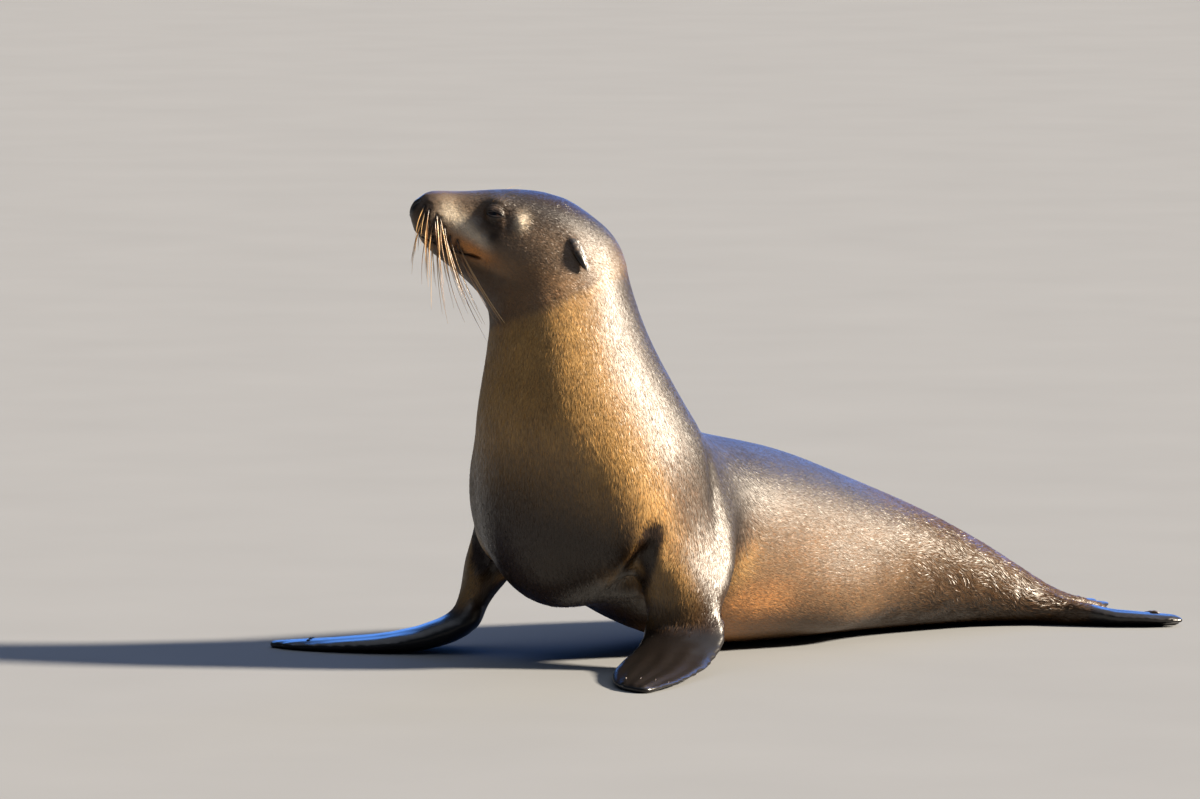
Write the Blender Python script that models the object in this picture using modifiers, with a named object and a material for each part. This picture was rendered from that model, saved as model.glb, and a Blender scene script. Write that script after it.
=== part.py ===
"""A young sea lion, life-size, sitting up on its front flippers with its belly on the ground.

Its trunk lies along X, with the tail towards +X and the chest facing -X. The neck rises from the
chest, and the head is turned to the animal's right and lifted a little. +Z is up, and all that
touches the ground is flat at z = 0. The origin is under the middle of the whole animal.
"""

import math
from collections import namedtuple

import bmesh
import bpy
import numpy as np
from mathutils import Matrix, Vector

# Driving dimensions, in metres.
GAP = 0.0003  # between two neighbouring pieces
VOXEL = 0.0035  # grain of the one body that all flesh is fused into
RING = 40  # points round a section
STEPS = 4  # sections made between each two of a table
FACES = 4500  # faces kept on the flesh, before it is cut into pieces
TRUNK_ROUNDS = 240  # rounds of softening where the forms of the body meet
FACE_ROUNDS = 7  # the same on the face and the flippers

EYE_LEVEL = Vector((-0.0969, 0.0799, 0.552))  # middle of the head, between the eyes
HEAD_YAW = 45  # degrees that the head is turned to the animal's right
HEAD_PITCH = 20  # degrees that the line of the mouth rises towards the nose
EYE_RADIUS = 0.0150
EYE_CENTRE = (0.002, 0.0322, 0.001)  # forward, to the side and up from EYE_LEVEL
SLIT = (0.0095, 0.0060, 0.0042)  # half the length, the depth and the height of the slit between the lids
EAR_ROOT = (-0.0895, 0.0535, 0.0085)  # the same three distances
EAR_TIP = (-0.1255, 0.0690, -0.0215)
EAR_BOW = 0.004  # how far the ear arches away from its straight line
HIND_ROOT = Vector((0.655, -0.060))  # between the two hind limbs
MOUTH_LEVEL = -0.0600
MOUTH_CORNER = 0.000
SPLAY = {"left": 25, "right": 45}  # degrees that each fore flipper points outwards
WRIST = {"left": Vector((-0.015, 0.160)), "right": Vector((-0.046, 0.188))}  # back and outwards
WRIST_LEVEL = 0.043
TAIL_ROOT = Vector((0.722, -0.086))
HIND_TURN, HIND_SPREAD = -18, 12  # degrees that the two hind limbs point aside, and apart

# Where the flesh is parted. Each of these is the lowest and the highest corner of a box that a piece is
# taken with, in a frame of its own.
NOSE_BOX = (0.0930, -0.050, -0.0370), (0.15, 0.05, 0.03)  # from EYE_LEVEL, along the head
JAW_BOX = (0.0, -0.07, -0.07), (0.12, 0.07, 0.0)  # from the corner of the mouth
SKULL_BOX = (-0.25, -0.16, 0.0), (0.25, 0.16, 0.30)  # from THROAT
HAND_BOX = (-0.36, -0.09, -0.01), (0.07, 0.09, 0.050)  # from the wrist, on the ground
ARM_BOX = (-0.085, -0.055, -0.06), (0.068, 0.055, 0.100)  # from the wrist, at its own height
TAIL_BOX = (0, -0.06, -0.01), (0.15, 0.06, 0.10)  # from TAIL_ROOT
NECK_BOX = (-0.25, -0.25, 0), (0.25, 0.25, 0.30)  # from NECK_BASE
CHEST_BOX = (-0.40, -0.30, 0), (0.40, 0.30, 0.50)  # from CHEST_BASE
RUMP_BOX = (0, -0.30, -0.01), (0.40, 0.30, 0.40)  # from LOIN
THROAT = (-0.108, 0, -0.063)  # from EYE_LEVEL, along the head
NECK_BASE = (-0.026, 0, 0.310)
CHEST_BASE = (0.135, 0, 0.160)
LOIN = (0.480, 0, 0)
LEG_FROM, ANKLE, TOES = 0.048, 0.100, 0.300  # from HIND_ROOT backwards
LEG_OVERLAP = 0.010  # the leg's box runs into the flipper, which is taken first
LEG_INSIDE, LEG_OUTSIDE, LEG_TOP = 0.0175, 0.16, 0.10  # sideways from HIND_ROOT, and the height

# How each of those boxes is tipped, in degrees.
JAW_TIP, THROAT_TIP, NECK_TIP, CHEST_TIP = -3, 42.5, -22.5, -68
ARM_LEAN, ARM_TIP = 11.5, 20.6  # the upper arm leans inwards and back
TAIL_TURN, LOIN_TURN = -24, -12

# A section of a long body: where its middle is, half its width, and its reach up and down from there.
# turn is the way its left-to-right line is turned about the vertical, in degrees.
Section = namedtuple("Section", "x y z wide up down turn")

TRUNK = [
    Section(0.800, -0.122, 0.012, 0.006, 0.005, 0.006, -24),  # tail tip
    Section(0.765, -0.106, 0.020, 0.019, 0.012, 0.016, -24),
    Section(0.715, -0.084, 0.027, 0.040, 0.023, 0.029, -22),  # tail root
    Section(0.650, -0.058, 0.045, 0.074, 0.042, 0.048, -20),
    Section(0.580, -0.034, 0.064, 0.098, 0.063, 0.067, -16),  # pelvis
    Section(0.490, -0.010, 0.085, 0.119, 0.086, 0.088, -12),
    Section(0.390, 0.006, 0.103, 0.131, 0.108, 0.106, -6),  # loin
    Section(0.280, 0.012, 0.121, 0.143, 0.128, 0.124, 0),  # last ribs
    Section(0.175, 0.012, 0.143, 0.150, 0.129, 0.138, 2),
    Section(0.080, 0.007, 0.182, 0.140, 0.116, 0.142, 3),  # shoulders
    Section(0.012, 0.002, 0.240, 0.142, 0.106, 0.156, 3),  # chest
    Section(-0.026, 0.000, 0.310, 0.134, 0.102, 0.144, 2),
    Section(-0.037, 0.009, 0.380, 0.110, 0.091, 0.113, 10),  # neck
    Section(-0.040, 0.017, 0.440, 0.089, 0.085, 0.094, 25),
    Section(-0.042, 0.025, 0.485, 0.073, 0.074, 0.066, 38),  # nape
    Section(-0.045, 0.028, 0.520, 0.046, 0.044, 0.036, 42),
]

# A section of the head, across its length: how far forward it is, its top, its bottom, half its
# width, and the height of its widest line, all from EYE_LEVEL.
HeadSection = namedtuple("HeadSection", "forward top bottom wide middle")

SKULL = [
    HeadSection(0.1060, -0.0200, -0.0360, 0.0110, -0.0280),  # nose tip
    HeadSection(0.1010, -0.0110, -0.0450, 0.0210, -0.0290),
    HeadSection(0.0900, -0.0030, -0.0540, 0.0290, -0.0320),
    HeadSection(0.0720, 0.0040, -0.0580, 0.0335, -0.0350),  # whisker pads
    HeadSection(0.0520, 0.0100, -0.0600, 0.0350, -0.0360),
    HeadSection(0.0300, 0.0195, -0.0640, 0.0400, -0.0370),
    HeadSection(0.0080, 0.0285, -0.0760, 0.0480, -0.0360),
    HeadSection(-0.0150, 0.0375, -0.0900, 0.0560, -0.0330),  # eyes
    HeadSection(-0.0450, 0.0450, -0.1020, 0.0630, -0.0300),
    HeadSection(-0.0750, 0.0470, -0.1080, 0.0670, -0.0280),  # ears
    HeadSection(-0.1050, 0.0425, -0.1080, 0.0660, -0.0280),
    HeadSection(-0.1350, 0.0330, -0.1000, 0.0600, -0.0300),
    HeadSection(-0.1600, 0.0150, -0.0840, 0.0480, -0.0340),
    HeadSection(-0.1750, -0.0080, -0.0640, 0.0280, -0.0360),  # back of the skull
]

JAW = [
    HeadSection(0.0840, -0.0540, -0.0620, 0.0120, -0.0580),  # chin
    HeadSection(0.0730, -0.0490, -0.0695, 0.0200, -0.0595),
    HeadSection(0.0500, -0.0480, -0.0785, 0.0255, -0.0620),
    HeadSection(0.0250, -0.0450, -0.0860, 0.0320, -0.0640),
    HeadSection(0.0000, -0.0450, -0.0960, 0.0400, -0.0660),
    HeadSection(-0.0300, -0.0450, -0.1130, 0.0480, -0.0720),
    HeadSection(-0.0700, -0.0450, -0.1250, 0.0500, -0.0800),  # under the cheeks
    HeadSection(-0.1100, -0.0450, -0.1150, 0.0350, -0.0800),
]

# The fore flipper from the wrist outwards: how far, its sweep towards the trailing edge, the height
# of its middle, half its chord and half its thickness.
HAND = [
    (0.045, 0.000, 0.0205, 0.056, 0.0210),
    (0.095, 0.003, 0.0120, 0.056, 0.0152),
    (0.150, 0.010, 0.0082, 0.049, 0.0115),
    (0.200, 0.022, 0.0058, 0.036, 0.0090),
    (0.232, 0.034, 0.0045, 0.021, 0.0070),
    (0.247, 0.041, 0.0040, 0.008, 0.0050),
]

# A hind limb from the rump backwards: how far, how far aside, the height of its middle, half its
# width and half its thickness.
FOOT = [
    (-0.060, 0.020, 0.0450, 0.040, 0.038),
    (0.000, 0.036, 0.0340, 0.036, 0.032),
    (0.040, 0.046, 0.0240, 0.031, 0.025),
    (0.075, 0.053, 0.0155, 0.033, 0.018),
    (0.115, 0.060, 0.0100, 0.041, 0.013),
    (0.160, 0.068, 0.0075, 0.049, 0.010),
    (0.200, 0.074, 0.0055, 0.053, 0.008),
    (0.222, 0.078, 0.0045, 0.048, 0.006),
]

# The ear from root to tip: the share of its length, half its width and half its thickness.
EAR = [
    (0.00, 0.0058, 0.0050),
    (0.20, 0.0068, 0.0054),
    (0.45, 0.0066, 0.0050),
    (0.70, 0.0052, 0.0040),
    (0.88, 0.0036, 0.0030),
    (1.00, 0.0018, 0.0016),
]

# A section of a limb: the middle, half its chord, half its thickness, and the direction of its
# leading edge, in degrees about the vertical from the way the chest faces, outwards positive.
LimbSection = namedtuple("LimbSection", "x side z chord thick lead")


def smooth_through(places, values, at):
    """Values read at new places from one smooth curve through the given ones."""
    places, values = np.asarray(places, float), np.asarray(values, float)
    slopes = np.gradient(values, places, axis=0)
    at = np.asarray(at, float)
    i = np.clip(np.searchsorted(places, at, side="right") - 1, 0, len(places) - 2)
    span = places[i + 1] - places[i]
    t = (at - places[i]) / span
    if values.ndim == 2:
        t, span = t[:, None], span[:, None]
    near = (2 * t**3 - 3 * t**2 + 1) * values[i] + (t**3 - 2 * t**2 + t) * span * slopes[i]
    far = (3 * t**2 - 2 * t**3) * values[i + 1] + (t**3 - t**2) * span * slopes[i + 1]
    return near + far


def refined(table):
    """A table of sections with STEPS of them for each one, on one smooth curve."""
    rows = np.array(table, float)
    last = len(rows) - 1
    return smooth_through(np.arange(last + 1), rows, np.linspace(0, last, last * STEPS + 1))


def skin_rings(rings):
    """A closed mesh through rings of equally many points, with a pole at each end."""
    count, around = len(rings), len(rings[0])
    mesh = bmesh.new()
    rows = [[mesh.verts.new(point) for point in ring] for ring in rings]
    for a, b in zip(rows, rows[1:]):
        for j in range(around):
            k = (j + 1) % around
            mesh.faces.new((a[j], a[k], b[k], b[j]))
    for row in (rows[0], rows[count - 1]):
        pole = mesh.verts.new(sum((v.co for v in row), Vector()) / around)
        for j in range(around):
            mesh.faces.new((row[j], row[(j + 1) % around], pole))
    bmesh.ops.recalc_face_normals(mesh, faces=mesh.faces[:])
    return mesh


def object_of(mesh, name, place=None):
    """A new object in the working collection from a bmesh, which is freed."""
    data = bpy.data.meshes.new(name)
    mesh.to_mesh(data)
    mesh.free()
    made = bpy.data.objects.new(name, data)
    if place is not None:
        data.transform(place)
    workshop.objects.link(made)
    return made


def oval(wide, up, down, squareness=2.2):
    """Points round an upright oval: (across, height) pairs, with its own reach up and down."""
    angles = np.linspace(0, 2 * math.pi, RING, endpoint=False)
    c, s = np.cos(angles), np.sin(angles)
    across = wide * np.sign(c) * np.abs(c) ** (2 / squareness)
    height = np.where(s > 0, up, down) * np.sign(s) * np.abs(s) ** (2 / squareness)
    return np.stack([across, height], axis=1)


def long_body(name, table):
    """A body along a curved spine."""
    rows = refined(table)
    middles = rows[:, :3]
    along = np.gradient(middles, axis=0)
    along /= np.linalg.norm(along, axis=1)[:, None]
    rings = []
    for middle, tangent, row in zip(middles, along, rows):
        turn = math.radians(row[6])
        side = np.array([math.sin(turn), math.cos(turn), 0.0])
        side -= tangent * side.dot(tangent)
        side /= np.linalg.norm(side)
        back = np.cross(side, tangent)
        section = oval(row[3], row[4], row[5])
        rings.append([middle + a * side + h * back for a, h in section])
    return object_of(skin_rings(rings), name)


def head_form(name, table, squareness=2.15):
    """A part of the head, straight along its length and the same on both sides."""
    rings = []
    for forward, top, bottom, wide, middle in refined(table):
        section = oval(wide, top - middle, middle - bottom, squareness)
        rings.append([(forward, a, middle + h) for a, h in section])
    return object_of(skin_rings(rings), name, HEAD)


def pad(name, centre, radii, place, turn=0.0):
    """A soft egg of flesh, turned about the upright axis of its own frame."""
    mesh = bmesh.new()
    bmesh.ops.create_uvsphere(mesh, u_segments=24, v_segments=16, radius=1.0)
    shape = Matrix.Translation(centre) @ Matrix.Rotation(turn, 4, "Z") @ Matrix.Diagonal((*radii, 1))
    return object_of(mesh, name, place @ shape)


def limb(name, side, table, edge=0.55):
    """A limb down and then out along the ground. side is -1 on the animal's left and 1 on its right.
    Each section is thick at its leading edge, and edge is how much thinner the trailing one is."""
    rows = refined(table)
    middles = rows[:, :3] * [1, side, 1]
    along = np.gradient(middles, axis=0)
    along /= np.linalg.norm(along, axis=1)[:, None]
    rings = []
    for middle, tangent, row in zip(middles, along, rows):
        lead = math.radians(row[5])
        front = np.array([-math.cos(lead), side * math.sin(lead), 0.0])
        front -= tangent * front.dot(tangent)
        front /= np.linalg.norm(front)
        flat = np.cross(tangent, front)
        ring = []
        for a, h in oval(row[3], row[4], row[4], 2.0):
            share = 1 - edge * (0.5 - 0.5 * a / row[3])
            ring.append(middle + a * front + h * share * flat)
        rings.append(ring)
    return object_of(skin_rings(rings), name)


def evaluated(made, name):
    """The object as its modifiers make it, as a new object. The first one is removed."""
    bpy.context.view_layer.update()
    graph = bpy.context.evaluated_depsgraph_get()
    data = bpy.data.meshes.new_from_object(made.evaluated_get(graph))
    placed = made.matrix_world.copy()
    bpy.data.objects.remove(made)
    data.transform(placed)
    data.name = name
    result = bpy.data.objects.new(name, data)
    workshop.objects.link(result)
    return result


def joined(pieces, name):
    """One object that holds the meshes of several."""
    mesh = bmesh.new()
    for piece in pieces:
        mesh.from_mesh(piece.data)
        bpy.data.objects.remove(piece)
    return object_of(mesh, name)


def weights(made, name, rule):
    """A vertex group whose weight at each point is rule(x, y, z)."""
    group = made.vertex_groups.new(name=name)
    for vertex in made.data.vertices:
        group.add([vertex.index], min(1.0, max(0.0, rule(vertex.co))), "REPLACE")
    return group.name


def ramp(value, low, high):
    """0 below low, 1 above high, and a smooth rise between."""
    t = min(1.0, max(0.0, (value - low) / (high - low)))
    return t * t * (3 - 2 * t)


for leftover in list(bpy.data.objects):
    bpy.data.objects.remove(leftover)
workshop = bpy.data.collections.new("sea_lion")
bpy.context.scene.collection.children.link(workshop)

HEAD = (
    Matrix.Translation(EYE_LEVEL)
    @ Matrix.Rotation(math.radians(-HEAD_YAW), 4, "Z")
    @ Matrix.Rotation(math.radians(HEAD_PITCH), 4, "Y")
    @ Matrix.Rotation(math.pi, 4, "Z")
)


def fore_limb(name, side, splay, wrist):
    """A front limb: the upper arm leaves the chest, the wrist bends, and the flipper lies flat on the
    ground, splay degrees outwards from the way the chest faces."""
    angle = math.radians(splay)
    ahead = Vector((-math.cos(angle), math.sin(angle)))
    behind = Vector((math.sin(angle), math.cos(angle)))
    reach, out = wrist
    lead = splay - 90
    table = [
        LimbSection(reach + 0.055, out - 0.076, 0.250, 0.066, 0.040, 0),
        LimbSection(reach + 0.052, out - 0.044, 0.195, 0.073, 0.048, lead * 0.15),
        LimbSection(reach + 0.042, out - 0.014, 0.135, 0.067, 0.040, lead * 0.5),
        LimbSection(reach + 0.016, out - 0.004, 0.085, 0.063, 0.027, lead * 0.85),
        LimbSection(reach, out, 0.043, 0.058, 0.023, lead),
    ]
    for distance, sweep, z, chord, thick in HAND:
        at = wrist + ahead * distance + behind * sweep
        table.append(LimbSection(at.x, at.y, z, chord, thick, lead))
    return limb(name, side, table)


def hind_heading(side):
    """The way a hind limb points along the ground, in radians from +X."""
    return math.radians(HIND_TURN + HIND_SPREAD * side)


def hind_limb(name, side):
    """A hind limb: the short leg leaves the rump beside the tail, and the flipper trails flat."""
    heading = hind_heading(side)
    ahead = Vector((math.cos(heading), math.sin(heading)))
    across = Vector((-ahead.y, ahead.x)) * side
    rows = []
    for distance, aside, z, wide, thick in FOOT:
        at = HIND_ROOT + ahead * distance + across * aside
        rows.append(Section(at.x, at.y, z, wide, thick, thick, math.degrees(heading)))
    return long_body(name, rows)


pieces = [
    long_body("trunk_form", TRUNK),
    pad("breast_form", (-0.058, 0.008, 0.198), (0.109, 0.105, 0.138), Matrix.Identity(4)),
    head_form("skull_form", SKULL),
    head_form("jaw_form", JAW, 2.0),
    fore_limb("arm_left_form", -1, SPLAY["left"], WRIST["left"]),
    fore_limb("arm_right_form", 1, SPLAY["right"], WRIST["right"]),
    hind_limb("leg_left_form", -1),
    hind_limb("leg_right_form", 1),
]
for side in (-1, 1):
    pieces.append(pad("whisker_pad", (0.066, 0.0160 * side, -0.035), (0.033, 0.0185, 0.0200), HEAD))
    pieces.append(pad("brow", (-0.006, 0.029 * side, 0.011), (0.028, 0.0140, 0.0125), HEAD))
    pieces.append(pad("shoulder", (-0.014, 0.098 * side, 0.212), (0.108, 0.067, 0.126), Matrix.Identity(4)))

whole = joined(pieces, "whole")
remesh = whole.modifiers.new("fuse", "REMESH")
remesh.mode = "VOXEL"
remesh.voxel_size = VOXEL
whole = evaluated(whole, "whole")

INTO_HEAD = HEAD.inverted()


def head_share(place):
    """1 on the face and skull, 0 on the neck and below."""
    forward, _, up = INTO_HEAD @ place
    return ramp(forward, -0.10, 0.0) * ramp(up, -0.12, -0.05)


def blade_share(place):
    """1 on the flippers where they are thin, 0 on the trunk and the limbs."""
    low = ramp(0.060 - place.z, 0.0, 0.025)
    outer = ramp(abs(place.y), 0.12, 0.15)
    front = ramp(0.10 - place.x, 0.0, 0.03)
    return max(low * outer * front, ramp(place.x, 0.66, 0.72))


trunk_group = weights(whole, "trunk", lambda p: (1 - head_share(p)) * (1 - blade_share(p)))
face_group = weights(whole, "face", lambda p: max(head_share(p), 0.6 * blade_share(p)))
for name, group, rounds in (
    ("soften_trunk", trunk_group, TRUNK_ROUNDS),
    ("soften_face", face_group, FACE_ROUNDS),
):
    soften = whole.modifiers.new(name, "SMOOTH")
    soften.factor = 0.5
    soften.iterations = rounds
    soften.vertex_group = group
thin = whole.modifiers.new("thin_out", "DECIMATE")
thin.ratio = 0.5 * FACES / len(whole.data.vertices)
whole = evaluated(whole, "whole")

# The eyes and the ears sit in sockets a hair wider than themselves. Then the flesh is cut flat where it
# rests on the ground and is parted into its pieces.
cutters = bpy.data.collections.new("cutters")
bpy.context.scene.collection.children.link(cutters)


def cut(made, cutter, operation):
    """The object after one Boolean with the cutter, which is kept out of sight."""
    workshop.objects.unlink(cutter)
    cutters.objects.link(cutter)
    cutter.hide_render = True
    cutter.display_type = "WIRE"
    name = made.name
    boolean = made.modifiers.new("cut", "BOOLEAN")
    boolean.operation = operation
    boolean.solver = "EXACT"
    boolean.object = cutter
    result = evaluated(made, name)
    bpy.data.objects.remove(cutter)
    result.name = name
    return result


def block(low, high, place=Matrix.Identity(4)):
    """A box between two opposite corners, in the frame given."""
    mesh = bmesh.new()
    bmesh.ops.create_cube(mesh, size=1.0)
    low, high = Vector(low), Vector(high)
    size = Matrix.Diagonal((*(high - low), 1))
    return object_of(mesh, "block", place @ Matrix.Translation((low + high) / 2) @ size)


def eyeball(side, radius):
    """An eye, as a ball about its centre."""
    mesh = bmesh.new()
    bmesh.ops.create_icosphere(mesh, subdivisions=3, radius=radius)
    forward, across, up = EYE_CENTRE
    return object_of(mesh, "eye", HEAD @ Matrix.Translation((forward, -side * across, up)))


def slit(side):
    """The opening between the lids, in front of an eye."""
    forward, across, up = EYE_CENTRE
    return pad("slit", (forward, -side * (across + EYE_RADIUS), up), SLIT, HEAD)


def ear(side, extra):
    """An ear: a small drooping cone, rolled shut, that points back and down. extra is added all round."""
    rings = []
    root, tip = Vector(EAR_ROOT), Vector(EAR_TIP)
    for share, wide, thick in EAR:
        middle = root.lerp(tip, share)
        middle.z += EAR_BOW * 4 * share * (1 - share)
        down = (tip - root).normalized()
        across = down.cross(Vector((0, 1, 0))).normalized()
        out = across.cross(down)
        ring = []
        for a, h in oval(wide + extra, thick + extra, thick + extra, 2.0)[::4]:
            place = middle + across * float(a) + out * float(h)
            ring.append((place.x, -side * place.y, place.z))
        rings.append(ring)
    return object_of(skin_rings(rings), "ear", HEAD)


def tipped(place, axis, degrees, frame=Matrix.Identity(4)):
    """A frame at a place, turned like another one and then about one of its own axes."""
    turned = frame.to_3x3().to_4x4() @ Matrix.Rotation(math.radians(degrees), 4, axis)
    return Matrix.Translation(place) @ turned


def taken(name, low, high, place=Matrix.Identity(4)):
    """The flesh inside a box, as a piece of its own. The rest keeps a thin gap from it."""
    global whole
    piece = bpy.data.objects.new(name, whole.data.copy())
    workshop.objects.link(piece)
    piece = cut(piece, block(low, high, place), "INTERSECT")
    spare = Vector((GAP, GAP, GAP))
    wider = block(Vector(low) - spare, Vector(high) + spare, place)
    whole = cut(whole, wider, "DIFFERENCE")
    piece.name = name
    return piece


whole = cut(whole, block((-1, -1, -1), (2, 1, 0)), "DIFFERENCE")
for side in (-1, 1):
    whole = cut(whole, eyeball(side, EYE_RADIUS + GAP), "DIFFERENCE")
    whole = cut(whole, slit(side), "DIFFERENCE")
    whole = cut(whole, ear(side, GAP), "DIFFERENCE")

SIDES = (("left", -1), ("right", 1))
nodes = {}
for word, side in SIDES:
    nodes["eye_" + word] = eyeball(side, EYE_RADIUS)
    nodes["ear_" + word] = ear(side, 0.0)
nodes["nose"] = taken("nose", *NOSE_BOX, HEAD)
jaw = tipped(HEAD @ Vector((MOUTH_CORNER, 0, MOUTH_LEVEL)), "Y", JAW_TIP, HEAD)
nodes["lower_jaw"] = taken("lower_jaw", *JAW_BOX, jaw)
nodes["head"] = taken("head", *SKULL_BOX, tipped(HEAD @ Vector(THROAT), "Y", THROAT_TIP, HEAD))
for word, side in SIDES:
    back, out = WRIST[word]
    hand = tipped((back, side * out, 0), "Z", -side * SPLAY[word])
    nodes["fore_flipper_" + word] = taken("fore_flipper_" + word, *HAND_BOX, hand)
    arm = tipped((back, side * out, WRIST_LEVEL), "X", ARM_LEAN * side) @ tipped((0, 0, 0), "Y", ARM_TIP)
    nodes["arm_" + word] = taken("arm_" + word, *ARM_BOX, arm)
    leg = tipped((*HIND_ROOT, 0), "Z", math.degrees(hind_heading(side)))
    near, far = sorted((LEG_INSIDE * side, LEG_OUTSIDE * side))
    low, high = (ANKLE, near, -0.01), (TOES, far, LEG_TOP)
    nodes["hind_flipper_" + word] = taken("hind_flipper_" + word, low, high, leg)
    low, high = (LEG_FROM, near, -0.01), (ANKLE + LEG_OVERLAP, far, LEG_TOP)
    nodes["hind_leg_" + word] = taken("hind_leg_" + word, low, high, leg)
nodes["tail"] = taken("tail", *TAIL_BOX, tipped((*TAIL_ROOT, 0), "Z", TAIL_TURN))
nodes["neck"] = taken("neck", *NECK_BOX, tipped(NECK_BASE, "Y", NECK_TIP))
nodes["chest"] = taken("chest", *CHEST_BOX, tipped(CHEST_BASE, "Y", CHEST_TIP))
nodes["rump"] = taken("rump", *RUMP_BOX, tipped(LOIN, "Z", LOIN_TURN))
whole.name = "trunk"
nodes["trunk"] = whole

# The middle of the whole animal's outline goes over the origin.
corners = np.concatenate([np.array([v.co for v in node.data.vertices]) for node in nodes.values()])
low, high = corners.min(axis=0), corners.max(axis=0)
SHIFT = Vector(((low[0] + high[0]) / 2, (low[1] + high[1]) / 2, 0.0))
BROWN = (0.16, 0.11, 0.075)  # the coat on the back and the sides
TAN = (0.30, 0.19, 0.10)  # the coat on the throat and the chest
DARK = (0.05, 0.035, 0.028)  # the thin skin of the ears and the flippers
BLACK = (0.01, 0.009, 0.008)
COLOURS = {"nose": BLACK, "eye": BLACK, "ear": DARK, "chest": TAN, "neck": TAN}
FLIPPERS = ("fore_flipper_", "hind_flipper_")
for name, node in nodes.items():
    node.data.transform(Matrix.Translation(-SHIFT))
    node.name = name
    node.data.name = name
    finish = bpy.data.materials.new("coat_" + name)
    finish.use_nodes = True
    skin = finish.node_tree.nodes["Principled BSDF"]
    colour = DARK if name.startswith(FLIPPERS) else COLOURS.get(name.split("_")[0], BROWN)
    skin.inputs["Base Color"].default_value = (*colour, 1)
    skin.inputs["Roughness"].default_value = 0.1 if name.startswith("eye") else 0.45
    node.data.materials.clear()
    node.data.materials.append(finish)
bpy.data.collections.remove(cutters)
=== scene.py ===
import bmesh
import bpy
import math
import numpy as np
from mathutils import Matrix, Vector, noise
from mathutils.bvhtree import BVHTree


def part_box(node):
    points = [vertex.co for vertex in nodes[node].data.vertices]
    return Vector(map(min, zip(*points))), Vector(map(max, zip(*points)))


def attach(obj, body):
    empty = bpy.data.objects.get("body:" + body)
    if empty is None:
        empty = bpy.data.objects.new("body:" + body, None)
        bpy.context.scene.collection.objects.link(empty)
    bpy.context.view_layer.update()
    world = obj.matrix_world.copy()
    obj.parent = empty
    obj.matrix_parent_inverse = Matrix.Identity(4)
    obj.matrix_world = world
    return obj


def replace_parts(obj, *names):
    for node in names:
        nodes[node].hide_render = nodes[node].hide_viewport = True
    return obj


# A young sea lion, life-size, at rest on a pale floor: it sits up on its fore flippers with its belly
# and hind flippers down, and its head is raised and turned to its right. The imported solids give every
# size and place. One skin covers them, and the coat lies on the skin.

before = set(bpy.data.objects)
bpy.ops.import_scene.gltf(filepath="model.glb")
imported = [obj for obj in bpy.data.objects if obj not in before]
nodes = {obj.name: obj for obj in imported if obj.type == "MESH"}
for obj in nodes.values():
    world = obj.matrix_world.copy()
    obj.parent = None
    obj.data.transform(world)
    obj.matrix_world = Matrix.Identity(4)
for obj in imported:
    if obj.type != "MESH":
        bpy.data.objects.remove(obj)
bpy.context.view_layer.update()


# ---------------------------------------------------------------------------------------------------
# The skin. One closed sheet of hide over the whole body, from the nose to the ends of the flippers.
# It is made from copies of the flesh, fused into one body and smoothed, then divided finely on the
# head, the flippers and the face, where it has to hold folds, lids, lips and nostrils.

BODY_GRAIN = 0.0074  # m between two points of the skin on the trunk
CLOSE_GAPS = 0.0004  # m that each copy swells, so that the cuts between the solids close
HEAD_YAW = math.radians(-45)
HEAD_PITCH = math.radians(20)
EYE_AHEAD, EYE_ABOVE = 0.002, 0.001  # m forward and up from the middle of the head


def middle_of(node):
    """The middle of a solid's box."""
    low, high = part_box(node)
    return (low + high) / 2


def deselect():
    """Nothing selected, so that an operator acts only on what is picked next."""
    bpy.ops.object.select_all(action="DESELECT")


def pick(piece):
    """This piece alone selected and active."""
    deselect()
    piece.select_set(True)
    bpy.context.view_layer.objects.active = piece


def apply_all(piece):
    """Every modifier of a piece applied, from the first to the last."""
    pick(piece)
    for modifier in list(piece.modifiers):
        bpy.ops.object.modifier_apply(modifier=modifier.name)


def new_piece(name, mesh):
    """A mesh as an object of the scene."""
    piece = bpy.data.objects.new(name, mesh)
    bpy.context.scene.collection.objects.link(piece)
    return piece


def fused_flesh():
    """All the solids as one closed skin of even grain."""
    copies = []
    for name in sorted(nodes):
        copy = new_piece("flesh", nodes[name].data.copy())
        pick(copy)
        bpy.ops.object.mode_set(mode="EDIT")
        bpy.ops.mesh.select_all(action="SELECT")
        bpy.ops.mesh.remove_doubles(threshold=0.00001)
        bpy.ops.object.mode_set(mode="OBJECT")
        swell = copy.modifiers.new("swell", "DISPLACE")
        swell.strength = CLOSE_GAPS
        swell.mid_level = 0.0
        apply_all(copy)
        copies.append(copy)
    deselect()
    for copy in copies:
        copy.select_set(True)
    bpy.context.view_layer.objects.active = copies[0]
    bpy.ops.object.join()
    whole = bpy.context.view_layer.objects.active
    whole.data.materials.clear()
    fuse = whole.modifiers.new("fuse", "REMESH")
    fuse.mode = "VOXEL"
    fuse.voxel_size = BODY_GRAIN
    apply_all(whole)
    whole.name = "skin"
    return whole


def read(items, key, wide, kind=np.float32):
    """One property of all the items of a mesh, as rows."""
    values = np.empty(len(items) * wide, kind)
    items.foreach_get(key, values)
    return values.reshape(-1, wide)


def vertices_of(mesh):
    """The points of a mesh, as rows of x, y, z."""
    return read(mesh.vertices, "co", 3).astype(float)


def normals_of(mesh):
    """The direction out of the skin at each of its points."""
    return read(mesh.vertex_normals, "vector", 3).astype(float)


def put_vertices(mesh, place):
    """Moves the points of a mesh."""
    mesh.vertices.foreach_set("co", place.astype(np.float32).ravel())
    mesh.update()


def ramp(value, low, high):
    """0 at low, 1 at high, and a smooth rise between. low may be the larger."""
    t = np.clip((value - low) / (high - low), 0.0, 1.0)
    return t * t * (3 - 2 * t)


def bell(value, middle, width):
    """1 at the middle, and falling off smoothly on both sides."""
    return np.exp(-(((value - middle) / width) ** 2))


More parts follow.
